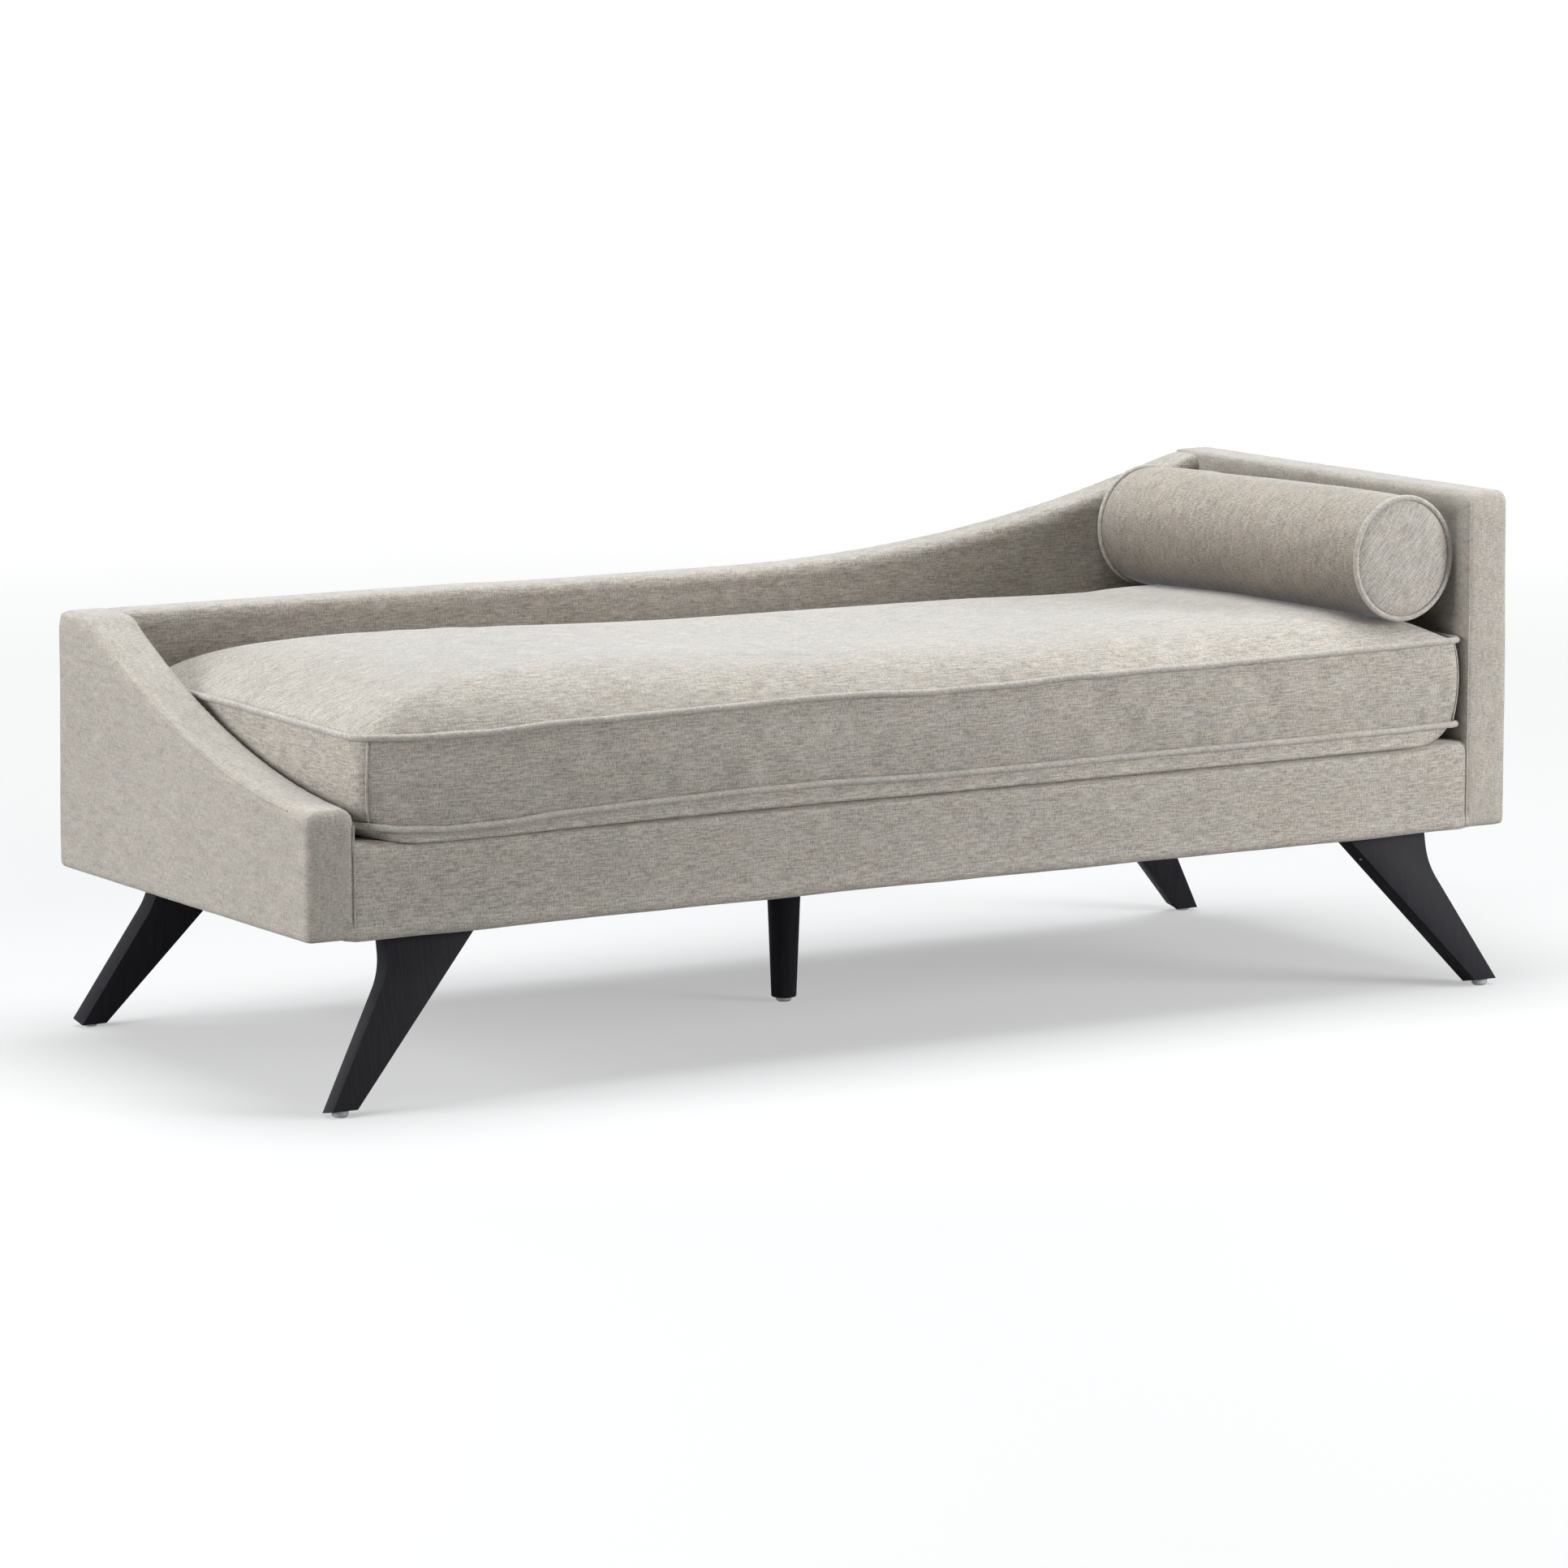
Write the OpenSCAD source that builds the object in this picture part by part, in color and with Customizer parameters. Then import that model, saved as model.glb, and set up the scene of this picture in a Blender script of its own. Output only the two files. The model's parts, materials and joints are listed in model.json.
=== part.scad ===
// Chaise longue with an S-shaped low back, a swept foot end, a loose boxed seat
// cushion, a round bolster and five dark timber legs.
// X runs along the length with the head end at +X, Y runs from front to back,
// Z is up, and the origin is on the floor under the middle of the body.

/* [Body] */
// Overall length of the upholstered body
body_l = 2000; // [1800:10:2200]
// Depth of the upholstered body from front to back
body_d = 768; // [700:2:840]
// Height of the underside above the floor
base_z = 237; // [200:1:280]
// Height of the low back and of the rear of the foot end
low_z = 604; // [580:1:640]
// Height of the head end
high_z = 737; // [700:1:780]
// Thickness of the upholstered panels
panel_t = 72; // [64:1:84]
// Height of the front rail and of the deck under the cushion
deck_z = 367; // [350:1:380]

/* [Back curve] */
// Distance from the middle of the length to where the back starts to rise
rise_start = 100; // [0:5:160]
// Distance from the end of the body to where the crest runs out level
crest_inset = 33; // [20:1:50]
// Radius of the crest of the S curve
crest_r = 250; // [180:5:260]

/* [Foot end curve] */
// Distance from the face of the back to where the foot end starts to fall
foot_crest_inset = 21; // [0:1:30]
// Radius of the crest where the foot end starts to fall
foot_crest_r = 40; // [30:1:110]
// Radius of the long hollow sweep to the front
foot_sweep_r = 1540; // [1450:10:1900]
// Steepest slope of the foot end, in degrees
foot_fall = 28.5; // [24:0.5:29]

/* [Upholstery] */
// Thickness of the cover fabric
fabric_t = 2; // [1:0.5:3]
// Thickness of the foam wrap on the panels
foam_t = 12; // [10:1:14]
// Radius of the rolled top edges
roll_r = 15; // [14:1:20]
// Radius of the bottom edges
hem_r = 6; // [5:1:8]
// Radius of the upright edges at the ends of a panel
corner_r = 9; // [7:1:14]
// How far the top of a panel drops in its rounded end
end_drop = 20; // [12:1:24]
// Depth of the front rail over its upholstery
rail_d = 60; // [50:1:70]

/* [Frame] */
// Thickness of the seat frame boards
board_t = 18; // [15:1:22]
// Height of the bottom rails inside the panels
bottom_rail_h = 60; // [50:1:70]
// Height of the shaped top rails inside the panels
top_rail_h = 55; // [45:1:70]
// Width of the posts inside the panels
post_w = 60; // [45:1:80]
// Thickness of the hardboard skins on the panel frames
skin_t = 3; // [2:0.5:4]
// Thickness of the cross members
member_t = 25; // [20:1:30]
// Height of the cross members and of the leg blocks
member_h = 48; // [44:1:56]
// Depth of the leg blocks behind the front rail board
block_d = 62; // [56:1:80]
// Length of the leg blocks
block_l = 190; // [180:1:200]
// Length and depth of the centre leg block
centre_block_w = 120; // [100:2:140]
// Gap between a leg block and the cross member beside it
member_gap = 50; // [20:5:80]

/* [Suspension] */
// Width of a webbing strap
strap_w = 60; // [50:1:70]
// Thickness of a webbing strap
strap_t = 2; // [1.5:0.5:3]
// Number of straps from front to back
strap_count = 14; // [12:1:16]
// Number of straps along the length
long_strap_count = 4; // [3:1:5]
// Thickness of the woven deck cloth
deck_cloth_t = 2; // [1:0.5:2]
// Thickness of the dust cover under the seat
dust_t = 1; // [0.5:0.5:1]

/* [Seat cushion] */
// Gap between the cushion's welts and the end panels
cushion_gap = 6; // [3:0.5:12]
// Gap between the cushion's rear welt and the back
cushion_back_gap = 2; // [1:0.5:6]
// How far the front welt lies behind the front of the body
cushion_setback = 1; // [0:0.5:10]
// Height of the boxing from welt to welt
boxing_h = 123; // [100:1:126]
// Rise of the crown above the top welt, towards the foot end
crown_h = 60; // [50:1:66]
// Rise of the crown in the middle of the seat
crown_mid_h = 42; // [36:1:60]
// Rise of the crown under the bolster
crown_head_h = 47; // [40:1:60]
// Depth of the belly under the bottom welt
belly_h = 21; // [16:1:26]
// Corner radius of the cushion in plan
cushion_r = 30; // [20:1:45]
// How far the boxing swells between the welts at the ends
end_swell = 4; // [2:0.5:5]
// How far the boxing swells between the welts at the front and rear
side_swell = 3; // [1:0.5:4]
// Diameter of the welts of the cushion
welt_d = 9; // [7:0.5:10]
// Inset of the foam block from the welts
core_inset = 30; // [26:1:40]
// Length of the cushion's zip
zip_l = 900; // [700:10:1200]

/* [Bolster] */
// Diameter of the bolster's body
bolster_d = 182; // [170:1:190]
// How far the bolster's front welt lies behind the front of the body
bolster_setback = 32; // [20:1:80]
// Diameter of the bolster's welts
bolster_welt_d = 8; // [6:0.5:9]
// Gap between the bolster's welts and the head end
bolster_gap = 1; // [0.5:0.5:6]
// Length of the bolster's zip
bolster_zip_l = 420; // [300:10:500]

/* [Legs] */
// Thickness of a leg board
leg_t = 31; // [28:1:36]
// Lean of a leg to the front or to the rear, in degrees
leg_lean = 10.75; // [6:0.25:12]
// Distance from the end of the body to the outer edge of a leg at the top
leg_inset = 130; // [110:1:150]
// Width of a leg at the top
leg_top_w = 143; // [130:1:150]
// How far a foot's outer corner stands beyond the leg's outer edge at the top
leg_reach = 105; // [90:1:115]
// Width of a foot
leg_foot_w = 38.5; // [34:0.5:44]
// Angle of the straight outer edge from upright, in degrees
leg_splay = 30; // [28:0.5:34]
// Radius of the hollow at the top of the outer edge
leg_bend_r = 100; // [60:5:110]
// How far the middle of a foot stands in front of or behind the body
foot_stand = 4; // [0:1:8]
// Diameter of the centre leg at its top
centre_top_d = 55; // [46:1:60]
// Diameter of the centre leg at its foot
centre_foot_d = 37; // [32:1:42]
// Distance of the centre leg behind the middle of the depth
centre_y = 35; // [0:1:60]
// Diameter of a glide
glide_d = 23; // [20:1:26]
// Height of a glide under the middle of a foot
glide_h = 7; // [6:0.5:9]

/* [Fasteners] */
// Diameter of a hanger bolt
bolt_d = 8; // [6:1:8]
// Length of a hanger bolt inside the leg
bolt_in_leg = 38; // [30:1:45]
// Length of a hanger bolt inside the frame
bolt_in_frame = 36; // [30:1:40]
// Distance between the two bolts of a leg
bolt_pitch = 70; // [50:1:80]
// Diameter of the threaded insert round a bolt
insert_d = 13; // [12:1:14]
// Length of the threaded insert
insert_l = 25; // [20:1:28]
// Clearance round bolts and screws
fit_gap = 0.2; // [0.1:0.05:0.3]
// Diameter of a frame screw
screw_d = 5; // [4:0.5:6]
// Length of a frame screw
screw_l = 50; // [40:1:60]

/* [Hidden] */

// Colours as the photograph shows them, and usual ones for what is hidden
greige = [0.66, 0.62, 0.58];
greige_light = [0.74, 0.71, 0.67];
espresso = [0.09, 0.085, 0.09];
timber = [0.78, 0.62, 0.42];
hardboard = [0.48, 0.34, 0.22];
foam_white = [0.93, 0.91, 0.82];
fibre_white = [0.96, 0.96, 0.94];
cambric = [0.12, 0.12, 0.13];
webbing = [0.25, 0.22, 0.2];
steel = [0.65, 0.66, 0.68];
brass = [0.78, 0.64, 0.34];
clear_plastic = [0.88, 0.9, 0.92];

// Main places, from the driving sizes
half_l = body_l / 2;
half_d = body_d / 2;
seat_half_l = half_l - panel_t;
back_face_y = half_d - panel_t;
padding = fabric_t + foam_t;
core_t = panel_t - 2 * padding;
leg_top_out = half_l - leg_inset;
leg_foot_out = leg_top_out + leg_reach;
foot_y = half_d + foot_stand;
eps = 0.01;
reach = 3 * body_l;

// S curve of the back: two tangent arcs between the low and the high level
crest_end = half_l - crest_inset;
rise_angle = 2 * atan((high_z - low_z) / (crest_end - rise_start));
rise_r = (crest_end - rise_start) / sin(rise_angle) - crest_r;
rise_end = rise_start + rise_r * sin(rise_angle);

back_top_z = function(x)
    x < rise_start ? low_z
    : x < rise_end ? low_z + rise_r - sqrt(pow(rise_r, 2) - pow(x - rise_start, 2))
    : x < crest_end ? high_z - crest_r + sqrt(pow(crest_r, 2) - pow(crest_end - x, 2))
    : high_z;

// Sweep of the foot end: a crest by the back, then one long hollow arc
crest_y = back_face_y - foot_crest_inset;
fall_y = crest_y - foot_crest_r * sin(foot_fall);
fall_z = low_z - foot_crest_r * (1 - cos(foot_fall));
sweep_y = fall_y - foot_sweep_r * sin(foot_fall);
sweep_z = fall_z + foot_sweep_r * cos(foot_fall);

foot_top_z = function(y)
    y > crest_y ? low_z
    : y > fall_y ? low_z - foot_crest_r + sqrt(pow(foot_crest_r, 2) - pow(crest_y - y, 2))
    : sweep_z - sqrt(pow(foot_sweep_r, 2) - pow(y - sweep_y, 2));

head_top_z = function(y) high_z;

// Evenly spaced numbers from a to b
function steps(a, b, n) = [for (i = [0 : n]) a + (b - a) * i / n];

// Stations along a panel: close together in its rounded ends and on its curves
end_steps = 4;
join_r = fabric_t + 2;
mitre_end = back_face_y + roll_r;
function end_stations(from, to) =
    [for (i = [0 : end_steps - 1]) from + (to - from) * (1 - cos(90 * i / end_steps))];
function reversed(list) = [for (i = [len(list) - 1 : -1 : 0]) list[i]];

foot_stations = concat(
    end_stations(-half_d, -half_d + corner_r),
    steps(-half_d + corner_r, fall_y, 12),
    steps(fall_y + (crest_y - fall_y) / 3, crest_y, 2),
    [back_face_y, mitre_end, half_d - corner_r],
    reversed(end_stations(half_d, half_d - corner_r)));
head_stations = concat(
    end_stations(-half_d, -half_d + corner_r),
    [-half_d + corner_r, back_face_y, mitre_end, half_d - corner_r],
    reversed(end_stations(half_d, half_d - corner_r)));
back_stations = concat(
    [-seat_half_l],
    steps(rise_start, min(rise_end, seat_half_l - 2), 12),
    rise_end < seat_half_l - 2
        ? steps(rise_end + (seat_half_l - rise_end) / 3, seat_half_l, 2)
        : [seat_half_l]);

// Share of the end rounding at a distance from the end of a panel
function end_share(distance, radius) =
    distance >= radius ? 0 : 1 - sqrt(1 - pow(1 - distance / radius, 2));

// One loop across a panel: a box section with rolled top and hem edges
function corner_arc(w, z, r, a0, n) =
    [for (i = [0 : n]) [w + r * cos(a0 + 90 * i / n), z + r * sin(a0 + 90 * i / n)]];
function panel_section(left, right, low, high, roll_left, roll_right, hem, n) = concat(
    corner_arc(right - roll_right, high - roll_right, roll_right, 0, n),
    corner_arc(left + roll_left, high - roll_left, roll_left, 90, n),
    corner_arc(left + hem, low + hem, hem, 180, 2),
    corner_arc(right - hem, low + hem, hem, 270, 2));

// Solid lofted through equal loops, its ends closed with fans from a corner
module lofted(loops) {
    n = len(loops[0]);
    last = len(loops) - 1;
    sides = [for (k = [0 : last - 1]) for (i = [0 : n - 1]) for (t = [0 : 1])
        let (j = (i + 1) % n, a = k * n, b = (k + 1) * n)
        t == 0 ? [a + i, b + j, a + j] : [a + i, b + i, b + j]];
    hub = 2;
    first_cap = [for (i = [1 : n - 2]) [hub, (hub + i) % n, (hub + i + 1) % n]];
    last_cap = [for (face = first_cap) [last * n + face[0], last * n + face[2], last * n + face[1]]];
    polyhedron(points = [for (loop = loops) each loop], faces = concat(sides, first_cap, last_cap));
}

// End panel standing along Y, centred on X = 0, inset all round by the given wall.
// Its inner face is on the +X side for the foot end (1) and on the -X side for the
// head end (-1). There the roll narrows to a sewn edge towards the back.
function inner_roll(y) = join_r + (roll_r - join_r) * max(back_face_y - y, 0) / (back_face_y + half_d);
module panel_along_y(stations, top, inset, n, inner) {
    half_t = panel_t / 2 - inset;
    loops = [for (y = stations)
        let (
            share = end_share(min(y + half_d, half_d - y), corner_r),
            place = y + inset * (y < 0 ? 1 : -1) * (abs(y) > half_d - corner_r ? 1 : 0),
            outer_side = half_t - share * (corner_r - inset),
            inner_side = half_t - share * (join_r - inset),
            left = inner > 0 ? -outer_side : -inner_side,
            right = inner > 0 ? inner_side : outer_side,
            roll_left = (inner > 0 ? roll_r : inner_roll(y)) - inset,
            roll_right = (inner > 0 ? inner_roll(y) : roll_r) - inset,
            high = top(y) - inset - share * end_drop,
            low = base_z + inset + share * hem_r / 2,
            loop = panel_section(left, right, low, high, roll_left, roll_right, hem_r - inset, n))
        [for (p = loop) [p[0], place, p[1]]]];
    lofted(reversed(loops));
}

// Back panel standing along X, centred on Y = 0, flat at both ends
module panel_along_x(stations, top, inset, n) {
    half_t = panel_t / 2 - inset;
    roll = roll_r - inset;
    loops = [for (x = stations)
        let (loop = panel_section(-half_t, half_t, base_z + inset, top(x) - inset,
            roll, roll, hem_r - inset, n))
        [for (p = loop) [x, p[0], p[1]]]];
    lofted(loops);
}

// Outline of a panel's inner frame in its own plane, from the floor of the body up
function frame_line(stations, top, drop) = [for (u = stations) [u, top(u) - drop]];
function inner_stations(stations, limit) =
    concat([-limit], [for (u = stations) if (abs(u) < limit - 1) u], [limit]);

// Flat board between a bottom line and a top line, each given as a list of points
module board_between(low_line, high_line, thickness) {
    linear_extrude(thickness, center = true) polygon(concat(low_line, reversed(high_line)));
}

// Frame of an end panel lies in the YZ plane, the frame of the back in the XZ plane
module upright_y() {
    rotate([90, 0, 90]) children();
}
module upright_x() {
    rotate([90, 0, 0]) children();
}

module shaped_rail(stations, top, thickness) {
    board_between(frame_line(stations, top, padding + top_rail_h),
        frame_line(stations, top, padding), thickness);
}

// Posts between the bottom rail and the shaped top rail
module shaped_posts(places, stations, top, thickness) {
    intersection() {
        board_between([for (u = [stations[0], stations[len(stations) - 1]]) [u, base_z + bottom_rail_h]],
            frame_line(stations, top, padding + top_rail_h), thickness);
        for (u = places)
            translate([u, (base_z + high_z) / 2, 0])
                cube([post_w, high_z - base_z, thickness], center = true);
    }
}

// Hardboard skins on both faces of a panel frame
module shaped_skins(stations, top) {
    for (side = [-1, 1])
        translate([0, 0, side * (core_t - skin_t) / 2])
            board_between([for (u = [stations[0], stations[len(stations) - 1]]) [u, base_z]],
                frame_line(stations, top, padding), skin_t);
}

frame_t = core_t - 2 * skin_t;
end_frame_half = half_d - padding;
foot_frame = inner_stations(foot_stations, end_frame_half);
head_frame = [-end_frame_half, end_frame_half];
back_frame = back_stations;
end_post_places = [-end_frame_half + post_w / 2, 0, end_frame_half - post_w / 2];
back_post_places = [for (k = [-2 : 2]) k * (seat_half_l - post_w / 2) / 2];
end_panel_x = half_l - panel_t / 2;
back_panel_y = half_d - panel_t / 2;

// Places of the bolts: the leg boards lean, and so do their bolts
leg_top_z = base_z - dust_t;
leg_top_y = foot_y - (leg_top_z - glide_h) * tan(leg_lean);
bolt_x = leg_top_out - leg_top_w / 2;

module on_leg_axes() {
    for (sx = [-1, 1], sy = [-1, 1], k = [-1, 1])
        translate([sx * (bolt_x + k * bolt_pitch / 2), sy * leg_top_y, leg_top_z])
            rotate([sy * leg_lean, 0, 0]) children();
}
module on_bolt_axes() {
    on_leg_axes() children();
    translate([0, centre_y, leg_top_z]) children();
}
module bolt_holes() {
    on_bolt_axes() translate([0, 0, -reach / 100])
        cylinder(d = bolt_d + 2 * fit_gap, h = reach / 50, $fn = 32);
}
module insert_holes() {
    on_bolt_axes() translate([0, 0, dust_t])
        cylinder(d = insert_d + 2 * fit_gap, h = insert_l + 2, $fn = 32);
}

// Foot end
module foot_end_bottom_rail() {
    color(timber) end_bottom_rail(-end_panel_x);
}
module end_bottom_rail(x) {
    translate([x, 0, base_z + bottom_rail_h / 2])
        cube([frame_t, 2 * end_frame_half, bottom_rail_h], center = true);
}
module foot_end_top_rail() {
    color(timber) translate([-end_panel_x, 0, 0]) upright_y() shaped_rail(foot_frame, foot_top_z, frame_t);
}
module foot_end_posts() {
    color(timber) translate([-end_panel_x, 0, 0]) upright_y()
        shaped_posts(end_post_places, foot_frame, foot_top_z, frame_t);
}
module foot_end_skins() {
    color(hardboard) translate([-end_panel_x, 0, 0]) upright_y() shaped_skins(foot_frame, foot_top_z);
}
module end_foam(x, stations, frame, top) {
    translate([x, 0, 0]) difference() {
        panel_along_y(stations, top, fabric_t, 3, -sign(x));
        upright_y() board_between([for (u = [frame[0], frame[len(frame) - 1]]) [u, base_z - eps]],
            frame_line(frame, top, padding), core_t);
    }
}
module end_cover(x, stations, top) {
    translate([x, 0, 0]) difference() {
        panel_along_y(stations, top, 0, 4, -sign(x));
        panel_along_y(stations, top, fabric_t, 3, -sign(x));
        translate([0, 0, base_z]) cube([core_t, 2 * end_frame_half, 2 * fabric_t + 1], center = true);
    }
}
module foot_end_foam() {
    color(foam_white) end_foam(-end_panel_x, foot_stations, foot_frame, foot_top_z);
}
module foot_end_cover() {
    color(greige_light) end_cover(-end_panel_x, foot_stations, foot_top_z);
}

// Head end
module head_end_bottom_rail() {
    color(timber) end_bottom_rail(end_panel_x);
}
module head_end_top_rail() {
    color(timber) translate([end_panel_x, 0, 0]) upright_y() shaped_rail(head_frame, head_top_z, frame_t);
}
module head_end_posts() {
    color(timber) translate([end_panel_x, 0, 0]) upright_y()
        shaped_posts(end_post_places, head_frame, head_top_z, frame_t);
}
module head_end_skins() {
    color(hardboard) translate([end_panel_x, 0, 0]) upright_y() shaped_skins(head_frame, head_top_z);
}
module head_end_foam() {
    color(foam_white) end_foam(end_panel_x, head_stations, head_frame, head_top_z);
}
module head_end_cover() {
    color(greige) end_cover(end_panel_x, head_stations, head_top_z);
}

// Back, between the two ends
module back_bottom_rail() {
    color(timber) difference() {
        translate([0, back_panel_y, base_z + bottom_rail_h / 2])
            cube([2 * seat_half_l, frame_t, bottom_rail_h], center = true);
        bolt_holes();
        insert_holes();
    }
}
module back_top_rail() {
    color(timber) translate([0, back_panel_y, 0]) upright_x() shaped_rail(back_frame, back_top_z, frame_t);
}
module back_posts() {
    color(timber) translate([0, back_panel_y, 0]) upright_x()
        shaped_posts(back_post_places, back_frame, back_top_z, frame_t);
}
module back_skins() {
    color(hardboard) translate([0, back_panel_y, 0]) upright_x() shaped_skins(back_frame, back_top_z);
}
module back_foam() {
    color(foam_white) translate([0, back_panel_y, 0]) difference() {
        panel_along_x(back_stations, back_top_z, fabric_t, 3);
        upright_x() board_between([for (u = [-seat_half_l - 1, seat_half_l + 1]) [u, base_z - eps]],
            concat([[-seat_half_l - 1, low_z - padding]], frame_line(back_frame, back_top_z, padding),
                [[seat_half_l + 1, back_top_z(seat_half_l) - padding]]), core_t);
    }
}
module back_cover() {
    color(greige) translate([0, back_panel_y, 0]) difference() {
        panel_along_x(back_stations, back_top_z, 0, 4);
        panel_along_x(concat([-seat_half_l - 1], back_stations, [seat_half_l + 1]),
            function(x) back_top_z(min(x, seat_half_l)), fabric_t, 3);
        translate([0, 0, base_z]) cube([body_l, core_t, 2 * fabric_t + 1], center = true);
    }
}

// Seat frame
rail_front_y = -half_d + padding;
rail_back_y = rail_front_y + board_t;
rail_top_z = deck_z - deck_cloth_t - foam_t + 1;
rail_h = rail_top_z - base_z;
member_span = back_face_y - board_t - rail_back_y;
member_in = (centre_block_w + member_t) / 2;
member_out = bolt_x - block_l / 2 - member_gap - member_t / 2;
member_mid = (member_in + member_out) / 2;
member_places = [-member_out, -member_mid, -member_in, member_in, member_mid, member_out];
screw_low = base_z + member_h / 2;
screw_high = base_z + rail_h - 25;

// Each screw as [x, height, side], on the line of the member or end rail that it holds
screw_places = [for (side = [-1, 1]) each concat(
    [for (x = member_places) [x, screw_low, side]],
    [for (sx = [-1, 1]) for (z = [screw_low, screw_high]) [sx * (seat_half_l - board_t / 2), z, side]])];

module wood_screw(clear) {
    translate([0, 0, -screw_l]) cylinder(d = screw_d + 2 * clear, h = screw_l, $fn = 24);
    translate([0, 0, -screw_d / 2])
        cylinder(d1 = screw_d + 2 * clear, d2 = 2 * screw_d + 2 * clear, h = screw_d / 2, $fn = 24);
}
module on_screws() {
    for (s = screw_places)
        translate([s[0], s[2] < 0 ? rail_front_y : back_face_y, s[1]])
            rotate([s[2] < 0 ? 90 : -90, 0, 0]) children();
}
module front_rail_board() {
    color(timber) difference() {
        translate([-seat_half_l, rail_front_y, base_z]) cube([2 * seat_half_l, board_t, rail_h]);
        on_screws() wood_screw(fit_gap);
        bolt_holes();
        insert_holes();
    }
}
module rear_seat_rail() {
    color(timber) difference() {
        translate([-seat_half_l, back_face_y - board_t, base_z]) cube([2 * seat_half_l, board_t, rail_h]);
        on_screws() wood_screw(fit_gap);
    }
}
module end_seat_rails() {
    color(timber) difference() {
        for (side = [-1, 1])
            translate([side * (seat_half_l - board_t / 2) - board_t / 2, rail_back_y, base_z])
                cube([board_t, member_span, rail_h]);
        on_screws() wood_screw(fit_gap);
    }
}
module cross_members() {
    color(timber) difference() {
        for (x = member_places)
            translate([x - member_t / 2, rail_back_y, base_z]) cube([member_t, member_span, member_h]);
        on_screws() wood_screw(fit_gap);
    }
}
module leg_blocks() {
    color(timber) difference() {
        for (side = [-1, 1])
            translate([side * bolt_x - block_l / 2, rail_back_y, base_z]) cube([block_l, block_d, member_h]);
        bolt_holes();
        insert_holes();
    }
}
module centre_leg_block() {
    color(timber) difference() {
        translate([-centre_block_w / 2, centre_y - centre_block_w / 2, base_z])
            cube([centre_block_w, centre_block_w, member_h]);
        bolt_holes();
        insert_holes();
    }
}
module frame_screws() {
    color(steel) on_screws() wood_screw(0);
}

// Front rail upholstery: one section drawn along the length
module rail_section(inset) {
    low = base_z + inset;
    high = deck_z - inset;
    roll = roll_r - inset;
    hem = hem_r - inset;
    front = -half_d + inset;
    width = rail_d - inset;
    translate([front + roll, low]) square([width - roll, high - low]);
    translate([front, low + hem]) square([width, high - low - roll - hem]);
    translate([front + roll, high - roll]) circle(r = roll, $fn = 48);
    translate([front + hem, low + hem]) circle(r = hem, $fn = 32);
}
module along_seat(length) {
    rotate([90, 0, 90]) linear_extrude(length, center = true) children();
}
module front_rail_foam() {
    color(foam_white) along_seat(2 * seat_half_l) difference() {
        rail_section(fabric_t);
        translate([rail_front_y, base_z - 1]) square([body_d, rail_top_z + strap_t - base_z + 1]);
    }
}
module front_rail_cover() {
    color(greige) along_seat(2 * seat_half_l) difference() {
        rail_section(0);
        rail_section(fabric_t);
        translate([rail_front_y, base_z - 1]) square([body_d, rail_top_z + strap_t - base_z + 1]);
    }
}

// Suspension and deck
strap_z = rail_top_z;
cloth_front_y = -half_d + rail_d;
module cross_webbing() {
    pitch = (2 * seat_half_l - 2 * board_t - strap_w) / (strap_count - 1);
    color(webbing) for (k = [0 : strap_count - 1])
        translate([-seat_half_l + board_t + k * pitch, rail_front_y, strap_z])
            cube([strap_w, back_face_y - rail_front_y, strap_t]);
}
module long_webbing() {
    pitch = member_span / long_strap_count;
    color(webbing) for (k = [0 : long_strap_count - 1])
        translate([-seat_half_l, rail_back_y + (k + 0.5) * pitch - strap_w / 2, strap_z + strap_t])
            cube([2 * seat_half_l, strap_w, strap_t]);
}
module deck_pad() {
    low = strap_z + 2 * strap_t;
    color(foam_white) translate([-seat_half_l, cloth_front_y, low])
        cube([2 * seat_half_l, back_face_y - cloth_front_y, deck_z - deck_cloth_t - low]);
}
module deck_cloth() {
    color(cambric) translate([-seat_half_l, cloth_front_y, deck_z - deck_cloth_t])
        cube([2 * seat_half_l, back_face_y - cloth_front_y, deck_cloth_t]);
}
module dust_cover() {
    color(cambric) difference() {
        translate([0, 0, leg_top_z + dust_t / 2])
            cube([body_l - 2 * padding, body_d - 2 * padding, dust_t], center = true);
        bolt_holes();
    }
}

// Legs
module leg_outline() {
    foot_in = leg_foot_out - leg_foot_w;
    blank_h = (base_z + panel_t) / cos(leg_lean);
    top_s = (leg_top_z - glide_h) / cos(leg_lean);
    top_in = leg_top_out - leg_top_w;
    inner_slope = (foot_in - top_in) / top_s;
    bend_s = (leg_foot_out - leg_top_out) / tan(leg_splay);
    tangent = leg_bend_r * tan(leg_splay / 2);
    difference() {
        polygon([
            [foot_in, 0],
            [leg_foot_out, 0],
            [leg_top_out + tangent * sin(leg_splay), bend_s - tangent * cos(leg_splay)],
            [leg_top_out, bend_s + tangent],
            [leg_top_out, blank_h],
            [foot_in - inner_slope * blank_h, blank_h]
        ]);
        translate([leg_top_out + leg_bend_r, bend_s + tangent]) circle(r = leg_bend_r, $fn = 96);
    }
}
module leg(sx, sy) {
    color(espresso) difference() {
        mirror([sx < 0 ? 1 : 0, 0, 0])
            translate([0, sy * foot_y, glide_h]) rotate([90 + sy * leg_lean, 0, 0])
            linear_extrude(leg_t, center = true) leg_outline();
        translate([0, 0, leg_top_z + reach / 2]) cube(reach, center = true);
        on_leg_axes() translate([0, 0, -bolt_in_leg - 1])
            cylinder(d = bolt_d + 2 * fit_gap, h = bolt_in_leg + 10, $fn = 32);
    }
}
module foot_front_leg() {
    leg(-1, -1);
}
module foot_rear_leg() {
    leg(-1, 1);
}
module head_front_leg() {
    leg(1, -1);
}
module head_rear_leg() {
    leg(1, 1);
}
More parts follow.
